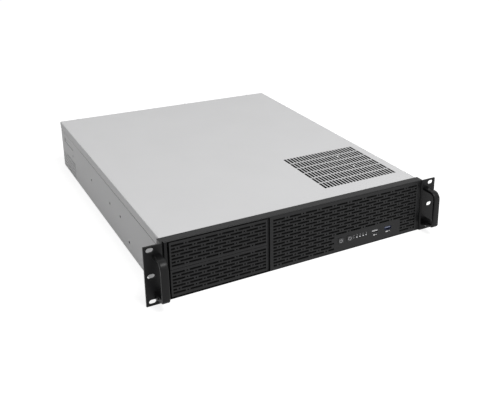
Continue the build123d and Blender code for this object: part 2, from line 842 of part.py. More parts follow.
def fan_frame(x):
    """Square fan housing with a round bore, four struts and the motor's seat"""
    square = Pos(x, fan_height) * RectangleRounded(fan_size, fan_size, fan_corner)
    hollow = Pos(x, fan_height) * Circle(fan_bore_radius)
    housing = across(square - hollow, fan_front, fan_depth)
    seat_front = fan_wall_y - fan_seat_thick
    struts = [fan_strut_at(x, 45 + 90 * turn) for turn in range(4)]
    seat = rod_y(x, fan_height, seat_front, fan_wall_y, fan_motor_radius)
    tube_front = fan_front + 2 * fan_hub_face + fan_seat_thick
    tube = rod_y(x, fan_height, tube_front, seat_front, fan_axle_radius + fan_tube_wall)
    bore = rod_y(x, fan_height, tube_front - 1, seat_front + 1, fan_axle_radius + fan_axle_gap)
    return housing + struts + seat + tube - bore


def fan_strut_at(x, angle):
    """Bar from the motor's seat to the housing"""
    bar = Pos(fan_bore_radius / 2, 0) * Rectangle(fan_bore_radius + 1, fan_strut)
    return across(Pos(x, fan_height) * Rot(0, 0, angle) * bar, fan_wall_y - fan_seat_thick, fan_seat_thick)


def fan_rotor(x):
    """Hub cup with its axle and curved blades"""
    front = fan_front + fan_hub_face
    hub = rod_y(x, fan_height, front, front + fan_hub_cup, fan_hub_radius)
    hub -= rod_y(x, fan_height, front + fan_hub_face, front + fan_hub_cup + 1, fan_hub_radius - fan_hub_wall)
    axle_end = fan_wall_y - fan_seat_thick - slide_gap
    axle = rod_y(x, fan_height, front + fan_hub_face / 2, axle_end, fan_axle_radius)
    blades = [Pos(x, front + fan_hub_cup / 2, fan_height) * Rot(0, 360 / fan_blades * index, 0) * blade()
              for index in range(fan_blades)]
    return hub + axle + blades


def blade():
    """One blade: a curved sheet set at an angle to the axle, wider towards its tip"""
    ring = Circle(fan_blade_bow) - Circle(fan_blade_bow - fan_blade_sheet)
    curve = (Pos(0, -fan_blade_bow + fan_blade_sheet) * ring) & Rectangle(3 * fan_blade_tip, fan_hub_cup)
    root = fan_hub_radius - fan_hub_wall / 2
    sheet = upright(Rot(0, 0, fan_blade_angle) * curve, root, fan_bore_radius - root)
    corners = [(-fan_blade_root, root), (fan_blade_root, root),
               (fan_blade_tip, fan_bore_radius), (-fan_blade_tip, fan_bore_radius)]
    outline = across(make_face(Polyline(*corners, close=True)), -fan_hub_cup / 2, fan_hub_cup)
    return sheet & outline & rod_y(0, 0, -fan_hub_cup, fan_hub_cup, fan_bore_radius - fan_tip_gap)


def slot_places():
    return [slot_first_x + slot_pitch * index for index in range(slot_count)]


def rear_panel():
    """Rear wall: windows for the board and the card slots, inlet, vent and flanges round the edge"""
    edge = inner_half - tray_sheet - seat_gap
    plate = pane(-inner_half, inner_half, floor_top, shelf_top)
    plate -= pane(slot_bay_left, slot_bay_right, slot_window_bottom - slot_cover_lap, slot_shelf_top)
    plate -= pane(io_left, io_left + io_width, bottom + io_rise, bottom + io_rise + io_height)
    plate -= Pos(inlet_x, inlet_z) * Rectangle(inlet_width + 2 * fit_gap, inlet_height + 2 * fit_gap)
    plate -= [rear_vent(column, row) for column in range(rear_vent_columns) for row in range(rear_vent_rows)]
    panel = across(plate, rear_inner, wall_sheet)
    front = rear_inner - rear_flange
    foot = block(-edge, edge, front, rear_outer, floor_top, floor_top + wall_sheet)
    brow = block(-edge + top_return, edge - top_return, front, rear_outer, shelf_top - wall_sheet, shelf_top)
    side = block(edge - wall_sheet, edge, front, rear_outer, floor_top, cage_top)
    holes = [rod_y(x, thumb_height, rear_inner - 1, rear_outer + 1, thumb_thread_radius + fit_gap)
             for x in thumb_places()]
    return panel + foot + brow + side + mirrored(side) - holes


def rear_vent(column, row):
    """One slot of the vent above the inlet"""
    x = -half + rear_vent_inset + rear_vent_pitch_x * column
    z = bottom + rear_vent_rise + rear_vent_pitch_z * row
    return pane(x, x + rear_vent_slot_width, z, z + rear_vent_slot_length)


def slot_plate():
    """Recessed plate with the card slots: its shelf and its foot run back to the rear panel"""
    low = slot_window_bottom - slot_cover_lap
    seam = rear_inner - slot_plate_sheet
    path = [(seam, slot_shelf_top + slot_plate_lap), (seam, slot_shelf_top), (slot_plane, slot_shelf_top),
            (slot_plane, low), (seam, low), (seam, low - slot_plate_lap)]
    left, width = slot_bay_left - slot_plate_lap, slot_bay_right - slot_bay_left + 2 * slot_plate_lap
    plate = along_x(folded(path, slot_plate_sheet, slot_plate_bend), left, width)
    cheek = block(left, left + slot_plate_sheet, slot_plane + slot_plate_sheet / 2, rear_inner,
                  low + slot_plate_sheet / 2, slot_shelf_top - slot_plate_sheet / 2)
    cheeks = [cheek, Pos(width - slot_plate_sheet, 0, 0) * cheek]
    windows = [block(x - slot_window_width / 2, x + slot_window_width / 2, slot_plane - 1, slot_plane + 2,
                     slot_window_bottom, slot_window_top) for x in slot_places()]
    threads = [rod_z(x, slot_screw_place(), slot_shelf_top - 2, slot_shelf_top + 1, slot_screw_radius)
               for x in slot_places()]
    return plate + cheeks - windows - threads


def slot_cover(index):
    """Blank for one card slot: it lies on the plate's inner face, and its tab on the shelf"""
    face, seat = slot_plane - seat_gap, slot_shelf_top + seat_gap
    section = [(face, slot_window_bottom - slot_cover_lap / 2), (face, seat), (face + slot_cover_tab, seat)]
    left = slot_places()[index] - slot_cover_width / 2
    blank = along_x(folded(section, slot_cover_sheet, slot_plate_bend + seat_gap), left, slot_cover_width)
    return blank - rod_z(slot_places()[index], slot_screw_place(), seat - 1, seat + 2,
                         slot_screw_radius + fit_gap)


def slot_screw_place():
    return slot_plane + slot_cover_tab / 2


def slot_screws():
    """Hexagonal screws that hold the tabs of the blanks to the shelf"""
    seat = slot_shelf_top + seat_gap + slot_cover_sheet
    head = RegularPolygon(slot_screw_across / 2, 6, major_radius=False)
    y = slot_screw_place()
    return [upright(Pos(x, y) * head, seat, slot_screw_head)
            + rod_z(x, y, seat - slot_screw_length, seat, slot_screw_radius) for x in slot_places()]


def power_inlet():
    """Moulded mains inlet with its flange outside the rear panel"""
    centre = Pos(inlet_x, inlet_z)
    body = across(centre * Rectangle(inlet_width, inlet_height), rear_outer - inlet_depth, inlet_depth)
    flange = across(centre * RectangleRounded(inlet_flange_width, inlet_flange_height, inlet_flange_corner),
                    rear_outer, inlet_flange_thick)
    cavity = across(centre * Rectangle(inlet_cavity_width, inlet_cavity_height),
                    inlet_front - inlet_cavity_depth, inlet_cavity_depth)
    return body + flange - cavity


def inlet_pins():
    """Three blades in the inlet, the middle one set higher"""
    start = inlet_front - inlet_cavity_depth
    rise = inlet_pin_height / 2
    places = [(-inlet_pin_spacing, -rise), (inlet_pin_spacing, -rise), (0, rise)]
    return [across(Pos(inlet_x + x, inlet_z + z) * Rectangle(inlet_pin_width, inlet_pin_height), start,
                   inlet_pin_length) for x, z in places]


def inlet_screws():
    """Screws of the inlet's flange"""
    reach = inlet_flange_width / 2 - inlet_screw_inset
    return [rod_y(inlet_x + x, inlet_z, inlet_front, inlet_front + inlet_screw_head, inlet_screw_radius)
            for x in (-reach, reach)]


def standoffs():
    """Hexagonal posts that carry the main board"""
    post = RegularPolygon(standoff_across / 2, 6, major_radius=False)
    return [upright(Pos(half - inset, rear_inner - setback) * post, floor_top, standoff_height)
            for inset in standoff_insets for setback in standoff_setbacks]


def write(name, shape):
    """One file for each piece, or for each group of like fasteners"""
    solids = shape if isinstance(shape, list) else [shape]
    pieces = [solid for item in solids for solid in item.solids()]
    export_step(pieces[0] if len(pieces) == 1 else Compound(children=pieces), f"parts/{name}.step")


os.makedirs("parts", exist_ok=True)
write("chassis_tray", chassis_tray())
write("top_cover", top_cover())
write("cover_thumbscrews", cover_thumbscrews())
write("front_frame", front_frame())
write("front_wall", front_wall())
write("left_ear", ear(-1))
write("right_ear", ear(1))
write("ear_side_screws", ear_side_screws())
write("left_handle", handle(-1))
write("right_handle", handle(1))
write("handle_screws", handle_screws())
write("foot_screws", foot_screws())
write("upper_bay_cover", bay_cover(True))
write("lower_bay_cover", bay_cover(False))
write("bay_filters", bay_filters())
write("front_mesh", front_mesh())
write("mesh_filter", mesh_filter())
write("power_button", button(power_x))
write("reset_button", button(reset_x))
write("button_switches", button_switches())
for number in range(light_count):
    write(f"indicator_{number + 1}", indicator(number))
write("left_port_shell", port_shell(port_left_x))
write("left_port_tongue", port_tongue(port_left_x))
write("right_port_shell", port_shell(port_right_x))
write("right_port_tongue", port_tongue(port_right_x))
write("panel_board", panel_board())
write("board_posts", board_posts())
write("board_screws", board_screws())
write("bay_cage", bay_cage())
write("drive_cage", drive_cage())
write("supply_cradle", supply_cradle())
write("fan_wall", fan_wall())
for number, place in enumerate(fan_places()):
    write(f"fan_frame_{number + 1}", fan_frame(place))
    write(f"fan_rotor_{number + 1}", fan_rotor(place))
write("rear_panel", rear_panel())
write("slot_plate", slot_plate())
for number in range(slot_count):
    write(f"slot_cover_{number + 1}", slot_cover(number))
write("slot_screws", slot_screws())
write("power_inlet", power_inlet())
write("inlet_pins", inlet_pins())
write("inlet_screws", inlet_screws())
write("standoffs", standoffs())
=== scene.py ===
# %% [markdown]
# # An empty rackmount server case
# The case is two rack units high. Its body is folded from pale grey painted sheet, and its front is
# black: a frame, a punched mesh, two covers over wide bays, and two ears with grip handles.
# The construction comes in as a finished frame of parts at their real size. This lesson gives each
# part its finish and makes the pieces whose fine detail shows close up.

# %% Load the construction
import json
import math

import bmesh
import bpy
from mathutils import Matrix, Vector, noise


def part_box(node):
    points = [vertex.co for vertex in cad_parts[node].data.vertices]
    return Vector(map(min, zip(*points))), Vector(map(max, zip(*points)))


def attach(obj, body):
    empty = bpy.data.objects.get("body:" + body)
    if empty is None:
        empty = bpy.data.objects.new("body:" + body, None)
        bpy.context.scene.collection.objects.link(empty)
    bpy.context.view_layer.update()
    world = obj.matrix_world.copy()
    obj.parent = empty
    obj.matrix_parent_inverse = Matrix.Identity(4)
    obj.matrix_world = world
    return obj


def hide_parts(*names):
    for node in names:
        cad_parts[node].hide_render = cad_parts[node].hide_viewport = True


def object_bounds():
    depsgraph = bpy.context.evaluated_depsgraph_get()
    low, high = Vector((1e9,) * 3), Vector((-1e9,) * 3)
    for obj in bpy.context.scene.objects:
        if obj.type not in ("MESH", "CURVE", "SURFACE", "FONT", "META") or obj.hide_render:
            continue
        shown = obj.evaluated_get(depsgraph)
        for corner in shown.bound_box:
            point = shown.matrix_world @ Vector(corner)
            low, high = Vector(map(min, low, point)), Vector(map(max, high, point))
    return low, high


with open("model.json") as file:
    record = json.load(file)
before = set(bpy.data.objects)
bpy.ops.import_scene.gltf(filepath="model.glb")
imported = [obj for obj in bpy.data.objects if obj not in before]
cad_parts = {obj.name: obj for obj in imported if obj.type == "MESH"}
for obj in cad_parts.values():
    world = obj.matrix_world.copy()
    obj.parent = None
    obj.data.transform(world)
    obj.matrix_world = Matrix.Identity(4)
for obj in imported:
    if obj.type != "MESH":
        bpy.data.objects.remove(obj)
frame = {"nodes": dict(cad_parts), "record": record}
cad_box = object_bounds()
nodes = frame["nodes"]
MM = 0.001
print("parts:", len(nodes))

# %% [markdown]
# ## The camera
# The object is seen from its left front corner and from above, as through a normal lens from about
# a metre away. A view is easiest to describe by where the camera stands, by the direction it looks
# (how far round, how far down, and how much it is tilted), and by its lens.

# %% Place the camera
CAMERA_PLACE = Vector((-487.28, -841.52, 500.98)) * MM
CAMERA_ROUND = math.radians(-32.817)
CAMERA_DOWN = math.radians(19.504)
CAMERA_TILT = math.radians(1.491)
CAMERA_LENS = 52.877
CAMERA_SHIFT = (-0.17729, -0.12831)

lens = bpy.data.cameras.new("view")
lens.lens = CAMERA_LENS
lens.shift_x, lens.shift_y = CAMERA_SHIFT
lens.clip_start = 0.02
lens.clip_end = 60
camera = bpy.data.objects.new("view", lens)
bpy.context.scene.collection.objects.link(camera)
turn = (Matrix.Rotation(CAMERA_ROUND, 4, "Z") @ Matrix.Rotation(math.pi / 2 - CAMERA_DOWN, 4, "X")
        @ Matrix.Rotation(CAMERA_TILT, 4, "Z"))
camera.matrix_world = Matrix.Translation(CAMERA_PLACE) @ turn
bpy.context.scene.camera = camera
bpy.context.scene.view_settings.view_transform = "Standard"
print("camera looks along", tuple(round(v, 3) for v in turn @ Vector((0, 0, -1))))

# %% [markdown]
# ## The floor and the light
# The case stands on a plain pale floor in soft light. The sky lights it evenly, one large lamp above
# makes the top the brightest side, and a weak lamp in front lifts the black. What the camera sees of
# the sky and the floor is white: the Light Path node tells the rays that are seen, straight or in
# a glossy face, from the rays that carry light.

# %% Floor
FLOOR_HALF = 14.0
FLOOR_Z = cad_box[0][2]


def link(mesh, name):
    """Put a mesh into the scene as an object that stays at the origin."""
    piece = bpy.data.objects.new(name, mesh)
    bpy.context.scene.collection.objects.link(piece)
    return piece


def finish_mesh(bm, name, smooth_angle=None):
    """Turn a bmesh into an object with outward faces."""
    bmesh.ops.recalc_face_normals(bm, faces=bm.faces)
    mesh = bpy.data.meshes.new(name)
    bm.to_mesh(mesh)
    bm.free()
    if smooth_angle is not None:
        mesh.shade_smooth()
        mesh.set_sharp_from_angle(angle=math.radians(smooth_angle))
    return link(mesh, name)


bm = bmesh.new()
bmesh.ops.create_grid(bm, x_segments=1, y_segments=1, size=FLOOR_HALF)
bmesh.ops.translate(bm, vec=(0, 0, FLOOR_Z), verts=bm.verts)
floor = finish_mesh(bm, "floor")

# %% Material helper


def new_material(name):
    """An empty node material: its tree, its output and a way to add nodes."""
    material = bpy.data.materials.new(name)
    material.use_nodes = True
    tree = material.node_tree
    tree.nodes.clear()
    output = tree.nodes.new("ShaderNodeOutputMaterial")
    return material, tree, output


def add(tree, kind, inputs=None, **settings):
    """Add one node, set its options and give its sockets values or links."""
    node = tree.nodes.new(kind)
    for key, value in settings.items():
        setattr(node, key, value)
    for socket, value in (inputs or {}).items():
        if isinstance(value, bpy.types.NodeSocket):
            tree.links.new(value, node.inputs[socket])
        else:
            node.inputs[socket].default_value = value
    return node


# %% White floor that keeps the shadow
FLOOR_COLOUR = (0.4, 0.4, 0.4, 1)
FLOOR_GLOW = 0.8

material, tree, output = new_material("pale_floor")
matte = add(tree, "ShaderNodeBsdfDiffuse", {"Color": FLOOR_COLOUR})
path = add(tree, "ShaderNodeLightPath")
seen = add(tree, "ShaderNodeMath", {0: path.outputs["Is Camera Ray"], 1: path.outputs["Is Glossy Ray"]},
           operation="MAXIMUM")
strength = add(tree, "ShaderNodeMath", {0: seen.outputs[0], 1: FLOOR_GLOW}, operation="MULTIPLY")
glow = add(tree, "ShaderNodeEmission", {"Strength": strength.outputs[0]})
both = add(tree, "ShaderNodeAddShader", {0: matte.outputs[0], 1: glow.outputs[0]})
tree.links.new(both.outputs[0], output.inputs["Surface"])
floor.data.materials.append(material)

# %% Sky
SKY_TOP = 0.56
SKY_EDGE = 0.08
SKY_RISE = 0.8  # where the top tone starts, from 0 at the horizon to 1 straight above

world = bpy.data.worlds.new("sky")
bpy.context.scene.world = world
world.use_nodes = True
tree = world.node_tree
tree.nodes.clear()
path = add(tree, "ShaderNodeLightPath")
seen = add(tree, "ShaderNodeMath", {0: path.outputs["Is Camera Ray"], 1: path.outputs["Is Glossy Ray"]},
           operation="MAXIMUM")
seen = add(tree, "ShaderNodeMath", {0: seen.outputs[0], 1: path.outputs["Is Transmission Ray"]},
           operation="MAXIMUM")
place = add(tree, "ShaderNodeTexCoord")
height = add(tree, "ShaderNodeSeparateXYZ", {"Vector": place.outputs["Generated"]})
light = add(tree, "ShaderNodeMapRange", {"Value": height.outputs["Z"], "From Min": 0.0, "From Max": SKY_RISE,
                                          "To Min": SKY_EDGE, "To Max": SKY_TOP})
strength = add(tree, "ShaderNodeMapRange", {"Value": seen.outputs[0], "To Min": light.outputs["Result"],
                                             "To Max": 1.0})
sky = add(tree, "ShaderNodeBackground", {"Color": (1, 1, 1, 1), "Strength": strength.outputs[0]})
output = add(tree, "ShaderNodeOutputWorld")
tree.links.new(sky.outputs[0], output.inputs["Surface"])

# %% Lamp


def add_lamp(name, place, target, size, power):
    """A square soft lamp that points at the target."""
    light = bpy.data.lights.new(name, "AREA")
    light.size = size
    light.energy = power
    lamp = bpy.data.objects.new(name, light)
    bpy.context.scene.collection.objects.link(lamp)
    direction = Vector(target) - Vector(place)
    lamp.matrix_world = Matrix.Translation(place) @ direction.to_track_quat("-Z", "Y").to_matrix().to_4x4()


CENTRE = (0, 0.25, 0)
TOP_PLACE = (0.45, -1.15, 2.35)
TOP_SIZE = 1.2
TOP_POWER = 48
FRONT_PLACE = (0.9, -2.5, 0.9)
FRONT_SIZE = 1.6
FRONT_POWER = 4

add_lamp("top_lamp", TOP_PLACE, CENTRE, TOP_SIZE, TOP_POWER)
add_lamp("front_lamp", FRONT_PLACE, CENTRE, FRONT_SIZE, FRONT_POWER)
print("lamps:", len(bpy.data.lights))

# %% [markdown]
# ## Finishes
# Painted steel, plated steel, plastics and foam are all close to one plain colour. What makes them
# look real is small: the grain of the powder coat and a slight cloudiness, both made from noise. The
# inside of the case lies in shade and looks nearly black through the vent. That shade is painted:
# the outer paint takes a much darker colour wherever a point of the sheet lies in a box that holds
# the front three quarters of the inside.

# %% Painted and plated metal
GRAIN_DETAIL = 2
GRAIN_STRENGTH = 0.5
CLOUD_SCALE = 14
CLOUD_DETAIL = 3
ROUGH_SPREAD = 0.06


def grain(tree, size, depth):
    """Fine bumps from noise in the object's own space."""
    place = add(tree, "ShaderNodeTexCoord")
    speckle = add(tree, "ShaderNodeTexNoise", {"Vector": place.outputs["Object"], "Scale": 1 / size,
                                               "Detail": GRAIN_DETAIL})
    bump = add(tree, "ShaderNodeBump", {"Height": speckle.outputs["Fac"], "Strength": GRAIN_STRENGTH,
                                        "Distance": depth})
    return place, speckle, bump


def inside(tree, place, low, high):
    """1 between two corners of a box in the object's own space, 0 outside it."""
    axes = add(tree, "ShaderNodeSeparateXYZ", {"Vector": place.outputs["Object"]})
    held = 1.0
    for axis, start, end in zip("XYZ", low, high):
        middle = add(tree, "ShaderNodeMath", {0: axes.outputs[axis], 1: (start + end) / 2},
                     operation="SUBTRACT")
        reach = add(tree, "ShaderNodeMath", {0: middle.outputs[0]}, operation="ABSOLUTE")
        within = add(tree, "ShaderNodeMath", {0: reach.outputs[0], 1: (end - start) / 2},
                     operation="LESS_THAN")
        both = add(tree, "ShaderNodeMath", {0: held, 1: within.outputs[0]}, operation="MULTIPLY")
        held = both.outputs[0]
    return held


def coated(name, colour, roughness, grain_size=0.0012, grain_depth=0.00004, cloud=0.03, metallic=0.0,
           gloss=0.5, shade_core=None):
    """Paint with a fine grain, and clouds that make it lighter and darker. A shade core is the two
    corners of a box and a dark colour painted as shade on the sheet inside it."""
    material, tree, output = new_material(name)
    place, speckle, bump = grain(tree, grain_size, grain_depth)
    clouds = add(tree, "ShaderNodeTexNoise", {"Vector": place.outputs["Object"], "Scale": CLOUD_SCALE,
                                              "Detail": CLOUD_DETAIL})
    dark = [channel * (1 - cloud) for channel in colour]
    light = [min(1, channel * (1 + cloud)) for channel in colour]
    mix = add(tree, "ShaderNodeMix", {"Factor": clouds.outputs["Fac"], "A": (*dark, 1), "B": (*light, 1)},
              data_type="RGBA")
    # Inside the box the colour becomes the painted shade.
    if shade_core:
        low, high, painted_shade = shade_core
        mix = add(tree, "ShaderNodeMix", {"Factor": inside(tree, place, low, high),
                                          "A": mix.outputs["Result"], "B": (*painted_shade, 1)}, data_type="RGBA")
    rough = add(tree, "ShaderNodeMapRange", {"Value": speckle.outputs["Fac"],
                                             "To Min": roughness - ROUGH_SPREAD,
                                             "To Max": roughness + ROUGH_SPREAD})
    shader = add(tree, "ShaderNodeBsdfPrincipled", {"Base Color": mix.outputs["Result"],
                 "Roughness": rough.outputs["Result"], "Metallic": metallic, "Specular IOR Level": gloss,
                 "Normal": bump.outputs["Normal"]})
    tree.links.new(shader.outputs[0], output.inputs["Surface"])
    return material


SKIN = 0.5 * MM  # the core stays this far inside the outer faces
SHADE_CORE_FRONT = 100 * MM  # it starts this far in front of the tray
SHADE_CORE_REAR = 180 * MM  # it ends this far behind the fan wall

low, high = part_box("chassis_tray")
shade_core_low = (low.x + SKIN, low.y - SHADE_CORE_FRONT, low.z + SKIN)
shade_core_high = (high.x - SKIN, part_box("fan_wall")[1].y + SHADE_CORE_REAR, cad_box[1][2] - SKIN)
# Inside this box the case paint is nearly black: painted shade for the inside of the case, seen through the
# vent.
case_paint = coated("case_paint", (0.6, 0.6, 0.605), 0.5, shade_core=(shade_core_low, shade_core_high, (0.03, 0.03, 0.031)))
black_paint = coated("black_paint", (0.009, 0.009, 0.0095), 0.42, cloud=0.1, gloss=0.17)
grip_paint = coated("grip_paint", (0.004, 0.004, 0.0043), 0.35, cloud=0.1, gloss=0.2)
black_mesh = coated("black_mesh", (0.014, 0.014, 0.0145), 0.5, cloud=0.08, gloss=0.25)
inner_steel = coated("inner_steel", (0.2, 0.205, 0.21), 0.4, metallic=0.5, cloud=0.08)
zinc_screw = coated("zinc_screw", (0.6, 0.6, 0.6), 0.3, metallic=1.0)
black_screw = coated("black_screw", (0.03, 0.03, 0.03), 0.35)
port_metal = coated("port_metal", (0.1, 0.1, 0.105), 0.35, metallic=0.7, cloud=0.02)
port_blue = coated("port_blue", (0.02, 0.025, 0.06), 0.4, metallic=0.4, cloud=0.02)
brass = coated("brass", (0.7, 0.5, 0.2), 0.3, metallic=1.0)
black_plastic = coated("black_plastic", (0.018, 0.018, 0.019), 0.5)
button_plastic = coated("button_plastic", (0.25, 0.25, 0.26), 0.4)
white_plastic = coated("white_plastic", (0.8, 0.8, 0.8), 0.35)
blue_plastic = coated("blue_plastic", (0.22, 0.25, 0.36), 0.35)
board_green = coated("board_green", (0.02, 0.09, 0.04), 0.35)
lens_plastic = coated("lens", (0.85, 0.87, 0.9), 0.25)
filter_foam = coated("filter_foam", (0.005, 0.005, 0.0055), 0.9, grain_size=0.0015, grain_depth=0.0006,
                     gloss=0.1)

SLOTS = {"case_paint": case_paint, "inner_steel": inner_steel, "black_paint": black_paint,
         "black_mesh": black_mesh, "filter_foam": filter_foam, "button_plastic": button_plastic,
         "lens": lens_plastic, "port_metal": port_metal, "white_plastic": white_plastic,
         "blue_plastic": blue_plastic, "board_green": board_green, "black_plastic": black_plastic,
         "zinc_screw": zinc_screw, "black_screw": black_screw, "brass": brass}
for part in frame["record"]["subparts"]:
    node = nodes[part["node"]]
    node.data.materials.clear()
    node.data.materials.append(SLOTS[part["material_slot"]])
print("finishes:", len(SLOTS))

# %% [markdown]
# ## Punched sheet
# The front is sheet punched with long slots in a running bond: every second row is shifted by half a
# step. A small square hole sits in each gap between two slots. Such a sheet is drawn flat, as one
# outline with all its holes, then filled and given its thickness.

# %% Punched sheet
SLOT_HEIGHT = 3.0 * MM
DOT = 2.3 * MM
SHORTEST = 0.9  # a hole shorter than this share of its height is left out
ROUND_SIDES = 20


def pane(x0, x1, z0, z1):
    """Corners of a rectangle, as X and Z."""
    return [(x0, z0), (x1, z0), (x1, z1), (x0, z1)]


def middle_of(low, high):
    """X and Z of the middle of a box."""
    return (low.x + high.x) / 2, (low.z + high.z) / 2


def disc(x, z, radius, count=ROUND_SIDES):
    """Points round a circle, as X and Z."""
    turns = [math.tau * step / count for step in range(count)]
    return [(x + radius * math.cos(turn), z + radius * math.sin(turn)) for turn in turns]


def grow(bm, faces, move):
    """Extrude flat faces into a solid."""
    grown = bmesh.ops.extrude_face_region(bm, geom=faces)
    moved = [item for item in grown["geom"] if isinstance(item, bmesh.types.BMVert)]
    bmesh.ops.translate(bm, vec=move, verts=moved)


def punched(bm, outline, holes, front, thick):
    """Add a sheet with holes to a mesh, from its front face to the rear."""
    edges = []
    for loop in [outline, *holes]:
        corners = [bm.verts.new((x, front, z)) for x, z in loop]
        edges += [bm.edges.new((corners[index - 1], corner)) for index, corner in enumerate(corners)]
    filled = bmesh.ops.triangle_fill(bm, edges=edges, use_beauty=True, normal=(0, -1, 0))
    grow(bm, [item for item in filled["geom"] if isinstance(item, bmesh.types.BMFace)], (0, thick, 0))


def running_bond(x0, x1, rows, period, length, field=None):
    """Slots and the square holes between them. A plain field, given by its left, its right and its
    top, stays free of them."""
    holes = []
    for row, z in enumerate(rows):
        start = x0 if row % 2 == 0 else x0 - period / 2
        while start < x1:
            spans = [(max(start, x0), min(start + length, x1), SLOT_HEIGHT)]
            dot = start + (length + period) / 2
            if x0 < dot - DOT and dot + DOT < x1:
                spans.append((dot - DOT / 2, dot + DOT / 2, DOT))
            for left, right, height in spans:
                parts = [(left, right)]
                if field and z < field[2]:
                    parts = [(left, min(right, field[0])), (max(left, field[1]), right)]
                holes += [pane(near, far, z - height / 2, z + height / 2) for near, far in parts
                          if far - near >= SHORTEST * height]
            start += period
    return holes


# %% Mesh on the right
MESH_PERIOD = 26.8 * MM
MESH_SLOT = 18.8 * MM
MESH_PITCH = 4.86 * MM
MESH_TOP = 7.95 * MM
MESH_ROWS = 16
MESH_SIDES = (5.3 * MM, 2.1 * MM)  # from the sheet's own left and right edges to the slots
MESH_SHIFT = 2.6 * MM  # a wider dark gap beside the divider
FIELD_TOP = -14.0 * MM
FIELD_LEFT = 52.0 * MM
FIELD_WIDTH = 124.5 * MM
PLAY = 0.2 * MM
CAP_WIDTH = 9.0 * MM
CAP_HEIGHT = 8.4 * MM

low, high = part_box("front_mesh")
low.x += MESH_SHIFT
sheet_thick = high.y - low.y
top_edge = cad_box[1][2]
rows = [top_edge - MESH_TOP - MESH_PITCH * index for index in range(MESH_ROWS)]
field = (FIELD_LEFT, FIELD_LEFT + FIELD_WIDTH, FIELD_TOP)
holes = running_bond(low.x + MESH_SIDES[0], high.x - MESH_SIDES[1], rows, MESH_PERIOD, MESH_SLOT, field)
for name in ("power_button", "reset_button", "left_port_shell", "right_port_shell"):
    inner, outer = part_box(name)
    x, z = middle_of(inner, outer)
    width = CAP_WIDTH if "button" in name else outer.x - inner.x
    height = CAP_HEIGHT if "button" in name else outer.z - inner.z
    side = width / 2 + PLAY
    rise = height / 2 + PLAY
    holes.append(pane(x - side, x + side, z - rise, z + rise))
lights = [name for name in nodes if name.startswith("indicator")]
for name in lights:
    inner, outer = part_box(name)
    radius = (outer.x - inner.x) / 2 + PLAY / 2
    holes.append(disc(*middle_of(inner, outer), radius))
bm = bmesh.new()
punched(bm, pane(low.x, high.x, low.z, high.z), holes, low.y, sheet_thick)
mesh_sheet = finish_mesh(bm, "mesh_sheet")
mesh_sheet.data.materials.append(black_mesh)
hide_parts("front_mesh")
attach(mesh_sheet, "case")
print("holes in the mesh:", len(holes))

# %% [markdown]
# ## Covers over the wide bays
# The bays at the left are closed by two covers of the same kind of sheet. Each has a rim round it, and
# a spring clip at each end holds it in the frame. The rim is drawn as a second sheet with one
# large hole, which is simpler than folding a punched face, and the clips are made of plain boxes.

# %% Bay covers
BAY_PERIOD = 24.4 * MM
BAY_SLOT = 17.7 * MM
BAY_SHIFT = 1.5 * MM
BAY_PITCH = 5.0 * MM
BAY_ROWS = 7
BAY_COUNT = 6
CLIP_WIDTH = 12.0 * MM
CLIP_THICK = 1.2 * MM
CLIP_REACH = 69.0 * MM + CLIP_THICK
CLIP_HOOK = 1.2 * MM
CLIP_GAP = 2.2 * MM  # from the sheet to the clip
HOOK_SPAN = (2.8 * MM, 1.5 * MM)  # where the hook starts and ends, before the clip's rear end
RIM_DEPTH = 7.0 * MM


def solid_box(bm, x0, x1, y0, y1, z0, z1):
    """Add a plain box between two corners to a mesh."""
    place = Matrix.Translation(((x0 + x1) / 2, (y0 + y1) / 2, (z0 + z1) / 2))
    size = Matrix.Diagonal((abs(x1 - x0), abs(y1 - y0), abs(z1 - z0), 1))
    bmesh.ops.create_cube(bm, size=1, matrix=place @ size)


def bay_sheet(node):
    """One cover: its punched face, its rim, and a spring clip at each end."""
    low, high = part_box(node)
    low.x += BAY_SHIFT
    high.x += BAY_SHIFT
    x, z = middle_of(low, high)
    rows = [z + BAY_PITCH * (index - (BAY_ROWS - 1) / 2) for index in range(BAY_ROWS)]
    reach = (BAY_COUNT * BAY_PERIOD - BAY_PERIOD + BAY_SLOT) / 2
    bm = bmesh.new()
    outline = pane(low.x, high.x, low.z, high.z)
    punched(bm, outline, running_bond(x - reach, x + reach, rows, BAY_PERIOD, BAY_SLOT), low.y, sheet_thick)
    inner = pane(low.x + sheet_thick, high.x - sheet_thick, low.z + sheet_thick, high.z - sheet_thick)
    punched(bm, outline, [inner], low.y + sheet_thick, RIM_DEPTH - sheet_thick)
    start = low.y + sheet_thick + CLIP_GAP
    rear = high.y
    for side in (-1, 1):
        face, back = x + side * CLIP_REACH, x + side * (CLIP_REACH - CLIP_THICK)
        levels = (z - CLIP_WIDTH / 2, z + CLIP_WIDTH / 2)
        wall = high.x if side > 0 else low.x
        solid_box(bm, back, wall - side * sheet_thick / 2, start, low.y + RIM_DEPTH, *levels)
        solid_box(bm, back, face, start, rear, *levels)
        solid_box(bm, back, face + side * CLIP_HOOK, rear - HOOK_SPAN[0], rear - HOOK_SPAN[1], *levels)
    cover = finish_mesh(bm, node + "_sheet")
    cover.data.materials.append(black_mesh)
    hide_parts(node)
    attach(cover, "case")
    print(node, "has", len(rows), "rows")


for node in ("upper_bay_cover", "lower_bay_cover"):
    bay_sheet(node)

# %% [markdown]
# ## The frame and the grips
# The frame is a folded ring with narrow stiles at its ends and a divider beside the wide bays. The
# outer edges of its front are rounded, and at the left end a step shows beside the ear. The grips
# are flat bars bent to a C. Such a bar is drawn once as a flat outline, given its width, and then
# bevelled twice: wide bevels make its bends, and small ones round the edges that a hand feels.

